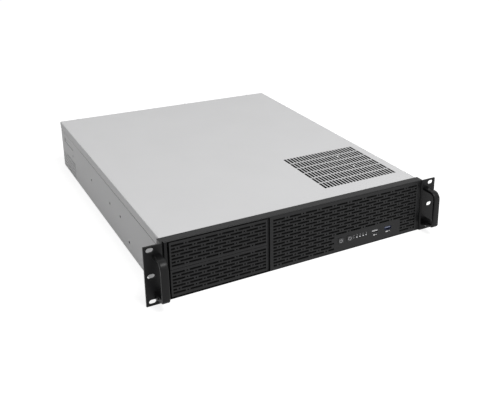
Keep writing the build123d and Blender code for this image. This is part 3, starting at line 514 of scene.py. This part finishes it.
# %% Frame round the front
STILE = 6.5 * MM
STILE_STEP = 2.0 * MM
STEP_DEPTH = 3.2 * MM
FRAME_WALL = 1.3 * MM
FRAME_END = 2.6 * MM
FRAME_ROUND = 1.2 * MM
FRAME_STEPS = 3
STILE_SPAN = (0.3 * MM, 1.5 * MM)  # where a stile starts and ends, behind the frame's front
DIVIDER = (-60.4 * MM, -57.6 * MM)
DIVIDER_SETBACK = 2.6 * MM
DIVIDER_END = 6.0 * MM  # before the frame's rear
CLOSE = 0.01 * MM  # points nearer than this are taken as one place


def soften(bm, edges, width, segments):
    """Round edges with a bevel."""
    bmesh.ops.bevel(bm, geom=edges, offset=width, segments=segments, affect="EDGES", profile=0.5,
                    material=-1)


def front_edges(bm, front):
    """Edges that lie in a front face."""
    return [edge for edge in bm.edges if all(vert.co.y < front + CLOSE for vert in edge.verts)]


def inset_pane(low, high, side, rim):
    """A rectangle inside a box, seen from the front."""
    return pane(low.x + side, high.x - side, low.z + rim, high.z - rim)


low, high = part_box("front_frame")
bm = bmesh.new()
inner = inset_pane(low, high, FRAME_END, FRAME_WALL)
punched(bm, pane(low.x + STILE_STEP, high.x, low.z, high.z), [inner], low.y, STEP_DEPTH)
outer = [edge for edge in front_edges(bm, low.y)
         if all(abs(vert.co.x) > high.x - STILE_STEP - CLOSE for vert in edge.verts)]
soften(bm, outer, FRAME_ROUND, FRAME_STEPS)
punched(bm, inset_pane(low, high, 0, 0), [inner], low.y + STEP_DEPTH, high.y - low.y - STEP_DEPTH)
for side in (-1, 1):
    solid_box(bm, side * (high.x - STILE), side * (high.x - FRAME_END), low.y + STILE_SPAN[0],
              low.y + STILE_SPAN[1], low.z + FRAME_WALL, high.z - FRAME_WALL)
solid_box(bm, *DIVIDER, low.y + DIVIDER_SETBACK, high.y - DIVIDER_END,
          low.z + FRAME_WALL / 2, high.z - FRAME_WALL / 2)
front_ring = finish_mesh(bm, "front_ring")
front_ring.data.materials.append(black_paint)
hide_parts("front_frame")
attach(front_ring, "case")
print("outer edges rounded:", len(outer))

# %% Grips
GRIP_MIDDLE = 223.8 * MM
GRIP_WIDTH = 10.8 * MM
GRIP_THICK = 4.8 * MM
GRIP_FOOT = 7.0 * MM
GRIP_DROP = 0.8 * MM
GRIP_BENDS = (12.0 * MM, 7.2 * MM, 4.5 * MM, 1.5 * MM)  # outer and inner at the top, outer and inner below
BEND_STEPS = 10
GRIP_EDGE = 1.3 * MM
EDGE_STEPS = 4
EAR_MARGIN = 0.1 * MM  # edges nearer the ear than this stay sharp
SMOOTH_ANGLE = 40  # degrees; two faces that meet at less look like one round face


def grip(node):
    """A flat bar bent to a C, with a deepened foot and round edges."""
    low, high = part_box(node)
    low.z -= GRIP_DROP
    middle = math.copysign(GRIP_MIDDLE, low.x)
    foot = low.z + GRIP_FOOT
    inner = low.y + GRIP_THICK
    bends = [(low.y, high.z), (inner, high.z - GRIP_THICK), (low.y, foot), (inner, foot + GRIP_THICK)]
    outline = [(high.y, high.z), bends[0], bends[2], (high.y, low.z), (high.y, foot + GRIP_THICK),
               bends[3], bends[1], (high.y, high.z - GRIP_THICK)]
    bm = bmesh.new()
    loop = [bm.verts.new((middle - GRIP_WIDTH / 2, y, z)) for y, z in outline]
    grow(bm, [bm.faces.new(loop)], (GRIP_WIDTH, 0, 0))
    for spot, radius in zip(bends, GRIP_BENDS):
        bend = [edge for edge in bm.edges
                if all((Vector(vert.co.yz) - Vector(spot)).length < CLOSE for vert in edge.verts)]
        soften(bm, bend, radius, BEND_STEPS)
    rims = [edge for edge in bm.edges if edge.verts[0].co.x == edge.verts[1].co.x
            and min(vert.co.y for vert in edge.verts) < high.y - EAR_MARGIN]
    soften(bm, rims, GRIP_EDGE, EDGE_STEPS)
    piece = finish_mesh(bm, node + "_bar", SMOOTH_ANGLE)
    piece.data.materials.append(grip_paint)
    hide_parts(node)
    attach(piece, "case")
    print(node, "has", len(rims), "rounded edges")


for node in ("left_handle", "right_handle"):
    grip(node)

# %% [markdown]
# ## Keys, lights and marks
# The keys are black caps with a light sign on each: the usual power sign, and a round arrow for
# restart. The lights are small milky domes, and a tiny printed mark stands above each. A sign is
# a thin raised shape just in front of its cap, so it moves with the key.

# %% Caps of the keys
CAP_EDGE = 0.9 * MM
CAP_FACE_EDGE = 0.5 * MM
CAP_FACE_STEPS = 3
FLANGE = 1.2 * MM
FLANGE_PLAY = 0.1 * MM
STEM_RADIUS = 1.6 * MM


def rod(bm, y0, y1, radius, x=0, z=0):
    """Add a round bar along Y to a mesh."""
    place = Matrix.Translation((x, (y0 + y1) / 2, z)) @ Matrix.Rotation(math.pi / 2, 4, "X")
    bmesh.ops.create_cone(bm, cap_ends=True, segments=ROUND_SIDES, radius1=radius, radius2=radius,
                          depth=y1 - y0, matrix=place)


def cap(node, body):
    """A key's cap: a soft square front, a flange behind the sheet and a stem."""
    low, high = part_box(node)
    x, z = middle_of(low, high)
    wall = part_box("front_mesh")[1].y
    bm = bmesh.new()
    solid_box(bm, x - CAP_WIDTH / 2, x + CAP_WIDTH / 2, low.y, wall + FLANGE,
              z - CAP_HEIGHT / 2, z + CAP_HEIGHT / 2)
    sides = [edge for edge in bm.edges if abs(edge.verts[0].co.y - edge.verts[1].co.y) > MM]
    soften(bm, sides, CAP_EDGE, EDGE_STEPS)
    soften(bm, front_edges(bm, low.y), CAP_FACE_EDGE, CAP_FACE_STEPS)
    solid_box(bm, low.x, high.x, wall + FLANGE_PLAY, wall + FLANGE, low.z, high.z)
    rod(bm, wall + FLANGE, high.y, STEM_RADIUS, x, z)
    piece = finish_mesh(bm, node + "_cap", SMOOTH_ANGLE)
    piece.data.materials.append(black_plastic)
    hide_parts(node)
    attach(piece, body)
    return Vector((x, low.y, z))


print("a cap's front is", CAP_WIDTH / MM, "by", CAP_HEIGHT / MM, "mm")

# %% Signs on the keys
SIGN_OUTER = 2.9 * MM
SIGN_LINE = 0.75 * MM
SIGN_INNER = SIGN_OUTER - SIGN_LINE
SIGN_RAISE = 0.12 * MM
SIGN_SINK = 0.05 * MM
POWER_DROP = 0.2 * MM
POWER_ARC = (38, 322)
RESTART_ARC = (100, 400)
ARROW_HALF = 1.5 * MM
ARROW_RISE = 0.6 * MM
ARROW_DROP = 1.4 * MM
ARC_STEPS = 22


def arc_band(x, z, outer, inner, start, end, steps=ARC_STEPS):
    """Outline of a part of a ring, from one angle to another, in degrees from the top."""
    turns = [math.radians(start + (end - start) * step / steps) for step in range(steps + 1)]
    far = [(x + outer * math.sin(turn), z + outer * math.cos(turn)) for turn in turns]
    near = [(x + inner * math.sin(turn), z + inner * math.cos(turn)) for turn in reversed(turns)]
    return far + near


def sign(name, body, spot, outlines):
    """Thin raised shapes in front of a spot, in the light grey of the print."""
    bm = bmesh.new()
    for outline in outlines:
        punched(bm, outline, [], spot.y - SIGN_RAISE, SIGN_RAISE + SIGN_SINK)
    piece = finish_mesh(bm, name)
    piece.data.materials.append(sign_grey)
    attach(piece, body)


sign_grey = coated("sign_grey", (0.42, 0.42, 0.43), 0.45, gloss=0.3)
spot = cap("power_button", "power_key")
x, z = spot.xz
sign("power_sign", "power_key", spot,
     [arc_band(x, z - POWER_DROP, SIGN_OUTER, SIGN_INNER, *POWER_ARC),
      pane(x - SIGN_LINE / 2, x + SIGN_LINE / 2, z, z + SIGN_OUTER)])
spot = cap("reset_button", "reset_key")
x, z = spot.xz
tip = x + SIGN_OUTER - SIGN_LINE / 2
arrow = [(tip - ARROW_HALF, z + ARROW_RISE), (tip + ARROW_HALF, z + ARROW_RISE), (tip, z - ARROW_DROP)]
sign("restart_sign", "reset_key", spot, [arc_band(x, z, SIGN_OUTER, SIGN_INNER, *RESTART_ARC), arrow])
print("signs are raised by", SIGN_RAISE / MM, "mm")

# %% Lights
DOME = 1.15 * MM
DOME_SEAT = 0.6 * MM  # behind the light's front end
DOME_FLAT = 0.5
DOME_RINGS = 12
LAMP_ANGLE = 50

lamp_clear = coated("lamp_clear", (0.9, 0.91, 0.93), 0.2, cloud=0.02)
lamp_dull = coated("lamp_dull", (0.3, 0.3, 0.31), 0.3, cloud=0.02)
for index, node in enumerate(sorted(lights)):
    low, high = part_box(node)
    x, z = middle_of(low, high)
    seat = low.y + DOME_SEAT
    bm = bmesh.new()
    ball = bmesh.ops.create_uvsphere(bm, u_segments=ROUND_SIDES, v_segments=DOME_RINGS, radius=DOME)
    bmesh.ops.rotate(bm, verts=ball["verts"], cent=(0, 0, 0), matrix=Matrix.Rotation(math.pi / 2, 3, "X"))
    bmesh.ops.scale(bm, verts=ball["verts"], vec=(1, DOME_FLAT, 1))
    bmesh.ops.translate(bm, verts=ball["verts"], vec=(x, seat, z))
    rod(bm, seat, high.y, DOME, x, z)
    piece = finish_mesh(bm, node + "_lamp", LAMP_ANGLE)
    piece.data.materials.append(lamp_dull if index == 0 else lamp_clear)
    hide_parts(node)
    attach(piece, "case")

# %% Printed marks
MARK_RISE = 3.9 * MM
MARK_HALF = 0.75 * MM
MARK_GAP = 0.2 * MM  # from the middle of a pair of bars to each of them
RING_LINE = 0.35 * MM
RING_STEPS = 16
BAR_PITCH = 0.6 * MM
BAR_HEIGHT = 0.3 * MM
INK_RAISE = 0.06 * MM
INK_THICK = 0.08 * MM

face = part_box("front_mesh")[0].y
marks = []
for index, node in enumerate(sorted(lights)):
    x, z = middle_of(*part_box(node))
    level = z + MARK_RISE
    if index == 0:
        marks.append(arc_band(x, level, MARK_HALF, MARK_HALF - RING_LINE, 0, 359, RING_STEPS))
    elif index == 1:
        bars = [level + step * BAR_PITCH for step in (-1, 0, 1)]
        marks += [pane(x - MARK_HALF, x + MARK_HALF, bar, bar + BAR_HEIGHT) for bar in bars]
    else:
        top = level + (MARK_HALF if index == 2 else 0.0)
        marks.append(pane(x - MARK_HALF, x - MARK_GAP, level - MARK_HALF, level + MARK_HALF))
        marks.append(pane(x + MARK_GAP, x + MARK_HALF, level - MARK_HALF, top))
bm = bmesh.new()
for outline in marks:
    punched(bm, outline, [], face - INK_RAISE, INK_THICK)
printed = finish_mesh(bm, "printed_marks")
printed.data.materials.append(sign_grey)
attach(printed, "case")
print("lights:", len(lights), "printed marks:", len(marks))

# %% [markdown]
# ## Screws
# A screw is known by its head: a cross is pressed into a flat round head, and a thumbscrew has a
# ribbed rim for the fingers. Each head is drawn as an outline with its cross left out, so the
# recess is a real hollow. One helper builds a screw that faces the front, and then turns it.

# %% Screw heads
HEAD_ROUND = 0.4 * MM
HEAD_STEPS = 3
HEAD_HOLLOW = 0.55  # depth of the cross, as a share of the head's height
HEAD_SIDES = 28
HEAD_ANGLE = 35
CROSS_REACH = 0.55  # as shares of the head's radius
CROSS_ARM = 0.13
RIM_START = 0.8
RIM_SHARE = 0.4  # the rim's rounding at most, as a share of the cross's depth


def cross(reach, arm):
    """Outline of a cross with four equal arms."""
    quarter = [(reach, -arm), (reach, arm), (arm, arm)]
    points = []
    for _ in range(4):
        points += quarter
        quarter = [(-b, a) for a, b in quarter]
    return points


def join_in(bm, part):
    """Add a finished part to a mesh, and free the part."""
    mesh = bpy.data.meshes.new("joined")
    part.to_mesh(mesh)
    part.free()
    bm.from_mesh(mesh)
    bpy.data.meshes.remove(mesh)


def screw_set(node, spots, outline, radius, height, shank, length, finish, body="case",
              hollow=HEAD_HOLLOW, rim_round=HEAD_ROUND, taper=False):
    """All screws of one node: a head with a cross recess on each seat, and its shank behind. The
    shank is given by its radius and its length."""
    bm = bmesh.new()
    deep = height * hollow
    for seat, outward in spots:
        one = bmesh.new()
        punched(one, outline, [cross(radius * CROSS_REACH, radius * CROSS_ARM)], -height, deep)
        rim = [edge for edge in front_edges(one, -height)
               if all(vert.co.xz.length > radius * RIM_START for vert in edge.verts)]
        soften(one, rim, min(rim_round, deep * RIM_SHARE), HEAD_STEPS)
        punched(one, outline, [], -height + deep, height - deep)
        if taper:
            for vert in one.verts:
                if vert.co.xz.length > radius * RIM_START:
                    narrow = 1 - (vert.co.y / height + 1) * (1 - shank / radius)
                    vert.co.x *= narrow
                    vert.co.z *= narrow
        rod(one, 0, length, shank)
        turn = Vector((0, -1, 0)).rotation_difference(Vector(outward)).to_matrix().to_4x4()
        one.transform(Matrix.Translation(seat) @ turn)
        join_in(bm, one)
    piece = finish_mesh(bm, node + "_turned", HEAD_ANGLE)
    piece.data.materials.append(SLOTS[finish])
    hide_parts(node)
    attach(piece, body)
    print(node, "has", len(spots), "screws")


# %% Screws at the rear
REARWARD = (0, 1, 0)
RIB_COUNT = 36
THUMB_RADIUS = 5.5 * MM
THUMB_HEAD = 7.0 * MM
THUMB_RIB = 0.35 * MM
THUMB_SHANK = 1.9 * MM
THUMB_HOLLOW = 0.3
THUMB_EDGE = 0.1 * MM
THUMB_PLACES = (-180 * MM, 37.5 * MM, 180 * MM)
INLET_LENGTH = 0.5 * MM

ribbed = []
for step in range(2 * RIB_COUNT):
    reach = THUMB_RADIUS - (THUMB_RIB if step % 2 else 0)
    turn = math.tau * step / (2 * RIB_COUNT)
    ribbed.append((reach * math.cos(turn), reach * math.sin(turn)))
low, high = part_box("cover_thumbscrews")
seat = high.y - THUMB_HEAD
z = (low.z + high.z) / 2
spots = [(Vector((x, seat, z)), REARWARD) for x in THUMB_PLACES]
screw_set("cover_thumbscrews", spots, ribbed, THUMB_RADIUS, THUMB_HEAD, THUMB_SHANK, seat - low.y,
          "zinc_screw", "cover", THUMB_HOLLOW, THUMB_EDGE)

low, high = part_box("inlet_screws")
radius = (high.z - low.z) / 2
z = (low.z + high.z) / 2
spots = [(Vector((x, low.y, z)), REARWARD) for x in (low.x + radius, high.x - radius)]
screw_set("inlet_screws", spots, disc(0, 0, radius, HEAD_SIDES), radius, high.y - low.y, radius / 3,
          INLET_LENGTH, "zinc_screw")

# %% Screws of the grips and the ears
HANDLE_RADIUS = 2.9 * MM
HANDLE_SHANK = 1.5 * MM
FOOT_HEAD = 1.2 * MM
FOOT_SHANK = 1.0 * MM
FOOT_LENGTH = 4.9 * MM
FOOT_SIDES = 24
EAR_RADIUS = 3.6 * MM
EAR_HEAD = 1.3 * MM
EAR_SHANK = 2.0 * MM
EAR_LENGTH = 5.5 * MM
EAR_HOLLOW = 0.7

low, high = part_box("handle_screws")
radius = HANDLE_RADIUS
spots = [(Vector((x, 0, z)), REARWARD) for x in (low.x + radius, high.x - radius)
         for z in (low.z + radius, high.z - radius)]
screw_set("handle_screws", spots, disc(0, 0, radius, HEAD_SIDES), radius, high.y, HANDLE_SHANK, -low.y,
          "zinc_screw")

low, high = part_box("foot_screws")
radius = (high.z - low.z) / 2
y, z = (low.y + high.y) / 2, (low.z + high.z) / 2
spots = [(Vector((side * (high.x - FOOT_HEAD), y, z)), (side, 0, 0)) for side in (-1, 1)]
screw_set("foot_screws", spots, disc(0, 0, radius, FOOT_SIDES), radius, FOOT_HEAD, FOOT_SHANK, FOOT_LENGTH,
          "black_screw")

low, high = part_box("ear_side_screws")
radius = EAR_RADIUS
y = (low.y + high.y) / 2
spots = [(Vector((side * (high.x - EAR_HEAD), y, z)), (side, 0, 0)) for side in (-1, 1)
         for z in (low.z + radius, high.z - radius)]
screw_set("ear_side_screws", spots, disc(0, 0, radius, HEAD_SIDES), radius, EAR_HEAD, EAR_SHANK, EAR_LENGTH,
          "black_screw", hollow=EAR_HOLLOW, taper=True)

# %% [markdown]
# ## Foam behind the mesh
# Thin sheets of black open foam keep dust out. They are cut to size and lie flat behind the mesh,
# with a slightly uneven surface. An outline, which has a notch where the control panel is, is
# filled, given its thickness and sliced into small cells, and noise then dimples its front.

# %% Foam sheets
PIT_SCALE = 900
PIT_SHADE_TONES = (0.004, 0.016)
PIT_STRENGTH = 0.8
PIT_DEPTH = 0.0005
FOAM_ROUGH = 0.95
FOAM_GLOSS = 0.1
CELL = 5.0 * MM
DIMPLE = 0.3 * MM
DIMPLE_SCALE = 120
FOAM_ANGLE = 60
BAY_PLAY = 1.4 * MM
NOTCH_PLAY = (0.6 * MM, 0.8 * MM)  # beside the control panel and above it


def foam_finish():
    """Black foam whose open cells show as tiny pits, with painted shade that darkens the middle of each pit.
    """
    material, tree, output = new_material("open_foam")
    place = add(tree, "ShaderNodeTexCoord")
    cells = add(tree, "ShaderNodeTexVoronoi", {"Vector": place.outputs["Object"], "Scale": PIT_SCALE})
    # The colour follows the pits' depth: painted shade, darkest in the middle of each pit.
    pit_shade = add(tree, "ShaderNodeMapRange", {"Value": cells.outputs["Distance"], "To Min": PIT_SHADE_TONES[0],
                                            "To Max": PIT_SHADE_TONES[1]})
    bump = add(tree, "ShaderNodeBump", {"Height": cells.outputs["Distance"], "Strength": PIT_STRENGTH,
                                        "Distance": PIT_DEPTH})
    colour = add(tree, "ShaderNodeCombineColor", {"Red": pit_shade.outputs["Result"],
                 "Green": pit_shade.outputs["Result"], "Blue": pit_shade.outputs["Result"]})
    shader = add(tree, "ShaderNodeBsdfPrincipled", {"Base Color": colour.outputs["Color"],
                 "Roughness": FOAM_ROUGH, "Specular IOR Level": FOAM_GLOSS,
                 "Normal": bump.outputs["Normal"]})
    tree.links.new(shader.outputs[0], output.inputs["Surface"])
    return material


open_foam = foam_finish()


def foam(name, node, outlines):
    """Sheets of foam in the space that a node holds."""
    low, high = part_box(node)
    bm = bmesh.new()
    for outline in outlines:
        punched(bm, outline, [], low.y, high.y - low.y)
    for axis, start, end in ((0, low.x, high.x), (2, low.z, high.z)):
        normal = Vector((0, 0, 0))
        normal[axis] = 1
        for step in range(1, int((end - start) / CELL)):
            geometry = bm.verts[:] + bm.edges[:] + bm.faces[:]
            bmesh.ops.bisect_plane(bm, geom=geometry, plane_co=normal * (start + step * CELL),
                                   plane_no=normal)
    for vert in bm.verts:
        if vert.co.y < low.y + CLOSE:
            vert.co.y += DIMPLE * (0.5 + 0.5 * noise.noise(vert.co * DIMPLE_SCALE))
    piece = finish_mesh(bm, name, FOAM_ANGLE)
    piece.data.materials.append(open_foam)
    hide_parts(node)
    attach(piece, "case")


behind = []
for node in ("lower_bay_cover", "upper_bay_cover"):
    low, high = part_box(node)
    behind.append(pane(low.x + BAY_SHIFT + BAY_PLAY, high.x + BAY_SHIFT - BAY_PLAY,
                       low.z + BAY_PLAY, high.z - BAY_PLAY))
foam("bay_foam", "bay_filters", behind)
low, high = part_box("mesh_filter")
start = low.x + MESH_SHIFT
left = FIELD_LEFT + NOTCH_PLAY[0]
right = FIELD_LEFT + FIELD_WIDTH - NOTCH_PLAY[0]
top = FIELD_TOP + NOTCH_PLAY[1]
foam("mesh_foam", "mesh_filter", [[(start, low.z), (left, low.z), (left, top), (right, top),
                                   (right, low.z), (high.x, low.z), (high.x, high.z), (start, high.z)]])
print("foam sheets:", len(behind) + 1)

# %% [markdown]
# ## Sockets
# Each socket is a folded metal shell with a plastic tongue that carries its contacts. The shell's
# corners are round, and its thin front edge catches the light as a line. A shell is a sheet with
# one hole, drawn deep, and a plain sheet closes its rear, so no two walls have to be joined.

# %% Sockets
TONGUE_THICK = 2.7 * MM
TONGUE_EDGE = 0.4 * MM
TONGUE_STEPS = 3
CONTACT_WIDTH = 1.0 * MM
CONTACT_HEIGHT = 0.12 * MM
CONTACT_SINK = 0.05 * MM
CONTACT_FRONT = 0.8 * MM  # behind the tongue's front end
CONTACT_REAR = 1.0 * MM  # before its rear end
CONTACT_PITCH = 2.2 * MM
SHELL_CORNER = 0.9 * MM
SHELL_WALL = 0.35 * MM
CORNER_STEPS = 4


def round_pane(x0, x1, z0, z1, radius):
    """Corners of a rectangle whose corners are round."""
    points = []
    for corner, (x, z) in enumerate(((x1 - radius, z1 - radius), (x0 + radius, z1 - radius),
                                     (x0 + radius, z0 + radius), (x1 - radius, z0 + radius))):
        for step in range(CORNER_STEPS + 1):
            turn = (corner + step / CORNER_STEPS) * math.pi / 2
            points.append((x + radius * math.cos(turn), z + radius * math.sin(turn)))
    return points


def socket(side, metal, finish, slot):
    """Shell, tongue and contacts of one socket. Gives the X and Z of its middle."""
    low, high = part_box(side + "_port_shell")
    x, z = middle_of(low, high)
    outer = round_pane(low.x, high.x, low.z, high.z, SHELL_CORNER)
    inner = round_pane(low.x + SHELL_WALL, high.x - SHELL_WALL, low.z + SHELL_WALL, high.z - SHELL_WALL,
                       SHELL_CORNER - SHELL_WALL)
    bm = bmesh.new()
    punched(bm, outer, [inner], low.y, high.y - low.y - SHELL_WALL)
    punched(bm, outer, [], high.y - SHELL_WALL, SHELL_WALL)
    shell = finish_mesh(bm, side + "_socket", SMOOTH_ANGLE)
    shell.data.materials.append(metal)
    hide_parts(side + "_port_shell")
    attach(shell, "case")
    low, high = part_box(side + "_port_tongue")
    bm = bmesh.new()
    solid_box(bm, low.x, high.x, low.y, high.y, high.z - TONGUE_THICK, high.z)
    soften(bm, front_edges(bm, low.y), TONGUE_EDGE, TONGUE_STEPS)
    tongue = finish_mesh(bm, side + "_tongue", SMOOTH_ANGLE)
    tongue.data.materials.append(finish)
    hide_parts(side + "_port_tongue")
    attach(tongue, "case")
    level = high.z - TONGUE_THICK
    bm = bmesh.new()
    for step in (-1.5, -0.5, 0.5, 1.5):
        middle = x + step * CONTACT_PITCH
        solid_box(bm, middle - CONTACT_WIDTH / 2, middle + CONTACT_WIDTH / 2, low.y + CONTACT_FRONT,
                  high.y - CONTACT_REAR, level - CONTACT_HEIGHT, level + CONTACT_SINK)
    contacts = finish_mesh(bm, side + "_contacts")
    contacts.data.materials.append(brass)
    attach(contacts, "case")
    return x, z


middles = [socket("left", port_metal, white_plastic, "white_plastic"),
           socket("right", port_blue, blue_plastic, "blue_plastic")]
print("sockets made:", len(middles))

# %% Plug marks under the sockets
PLUG_DROP = 6.0 * MM
PLUG_STRETCH = (1.0, 1.25)  # left mark and right mark
PLUG_BODY = (-3.2 * MM, -0.2 * MM, 1.1 * MM)  # left end, right end and half height of each part
PLUG_CABLE = (-0.2 * MM, 1.9 * MM, 0.3 * MM)
PLUG_TIP = (1.9 * MM, 3.1 * MM, 0.7 * MM)

white_ink = coated("white_ink", (0.7, 0.7, 0.7), 0.5, gloss=0.3)
bm = bmesh.new()
for (x, z), stretch in zip(middles, PLUG_STRETCH):
    level = z - PLUG_DROP
    for left, right, half in (PLUG_BODY, PLUG_CABLE, PLUG_TIP):
        outline = pane(x + left * stretch, x + right * stretch, level - half, level + half)
        punched(bm, outline, [], face - INK_RAISE, INK_THICK)
plug_marks = finish_mesh(bm, "plug_marks")
plug_marks.data.materials.append(white_ink)
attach(plug_marks, "case")

# %% [markdown]
# ## The lid
# The lid is one sheet, folded down at both sides, with a flange at the rear and a tongue that slips
# under the frame. Its vent has six rows of long slots with narrow bars between them. The top is
# punched upright, like the front, and then laid flat. Each folded side is drawn as a bent outline
# and extruded along the lid, and a bevel rounds its bend.

# %% Lid
LID_SHEET = 1.0 * MM
LID_BEND = 1.8 * MM
LID_STEPS = 5
LID_EDGE = 4.0 * MM  # width of the folded strip at each side
FLANGE_INSET = 1.6 * MM
TONGUE_INSET = 35.0 * MM
TONGUE_DROP = 1.6 * MM
TONGUE_REACH = 6.0 * MM
VENT_COLUMNS = 23
VENT_ROWS = 6
VENT_SLOT = (4.2 * MM, 21.4 * MM)
VENT_PITCH = (5.97 * MM, 23.27 * MM)
VENT_START = (6.5 * MM, 4.5 * MM)  # from the corner of the supply's cradle

low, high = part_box("top_cover")
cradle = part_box("supply_cradle")[0]
front, rear = low.y + TONGUE_REACH, high.y
reach = high.x - LID_EDGE
slots = []
for column in range(VENT_COLUMNS):
    for row in range(VENT_ROWS):
        x = cradle.x + VENT_START[0] + column * VENT_PITCH[0]
        y = cradle.y + VENT_START[1] + row * VENT_PITCH[1]
        slots.append(pane(x, x + VENT_SLOT[0], y, y + VENT_SLOT[1]))
bm = bmesh.new()
punched(bm, pane(-reach, reach, front, rear), slots, -high.z, LID_SHEET)
bmesh.ops.rotate(bm, verts=bm.verts, cent=(0, 0, 0), matrix=Matrix.Rotation(-math.pi / 2, 3, "X"))
for side in (-1, 1):
    fold = bmesh.new()
    outside = [(reach, high.z), (high.x, high.z), (high.x, low.z), (high.x - LID_SHEET, low.z),
               (high.x - LID_SHEET, high.z - LID_SHEET), (reach, high.z - LID_SHEET)]
    loop = [fold.verts.new((side * x, front, z)) for x, z in outside]
    grow(fold, [fold.faces.new(loop)], (0, rear - front, 0))
    bend = [edge for edge in fold.edges
            if all(abs(abs(vert.co.x) - high.x) < CLOSE and abs(vert.co.z - high.z) < CLOSE
                   for vert in edge.verts)]
    soften(fold, bend, LID_BEND, LID_STEPS)
    join_in(bm, fold)
flange = high.x - FLANGE_INSET
step = high.x - TONGUE_INSET
solid_box(bm, -flange, flange, rear - LID_SHEET, rear, low.z, high.z - LID_SHEET)
solid_box(bm, -step, step, front, front + LID_SHEET, high.z - TONGUE_DROP - LID_SHEET, high.z - LID_SHEET)
solid_box(bm, -step, step, low.y, front + LID_SHEET, high.z - TONGUE_DROP - LID_SHEET, high.z - TONGUE_DROP)
lid = finish_mesh(bm, "lid_sheet", SMOOTH_ANGLE)
lid.data.materials.append(case_paint)
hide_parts("top_cover")
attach(lid, "cover")
print("vent slots:", len(slots))
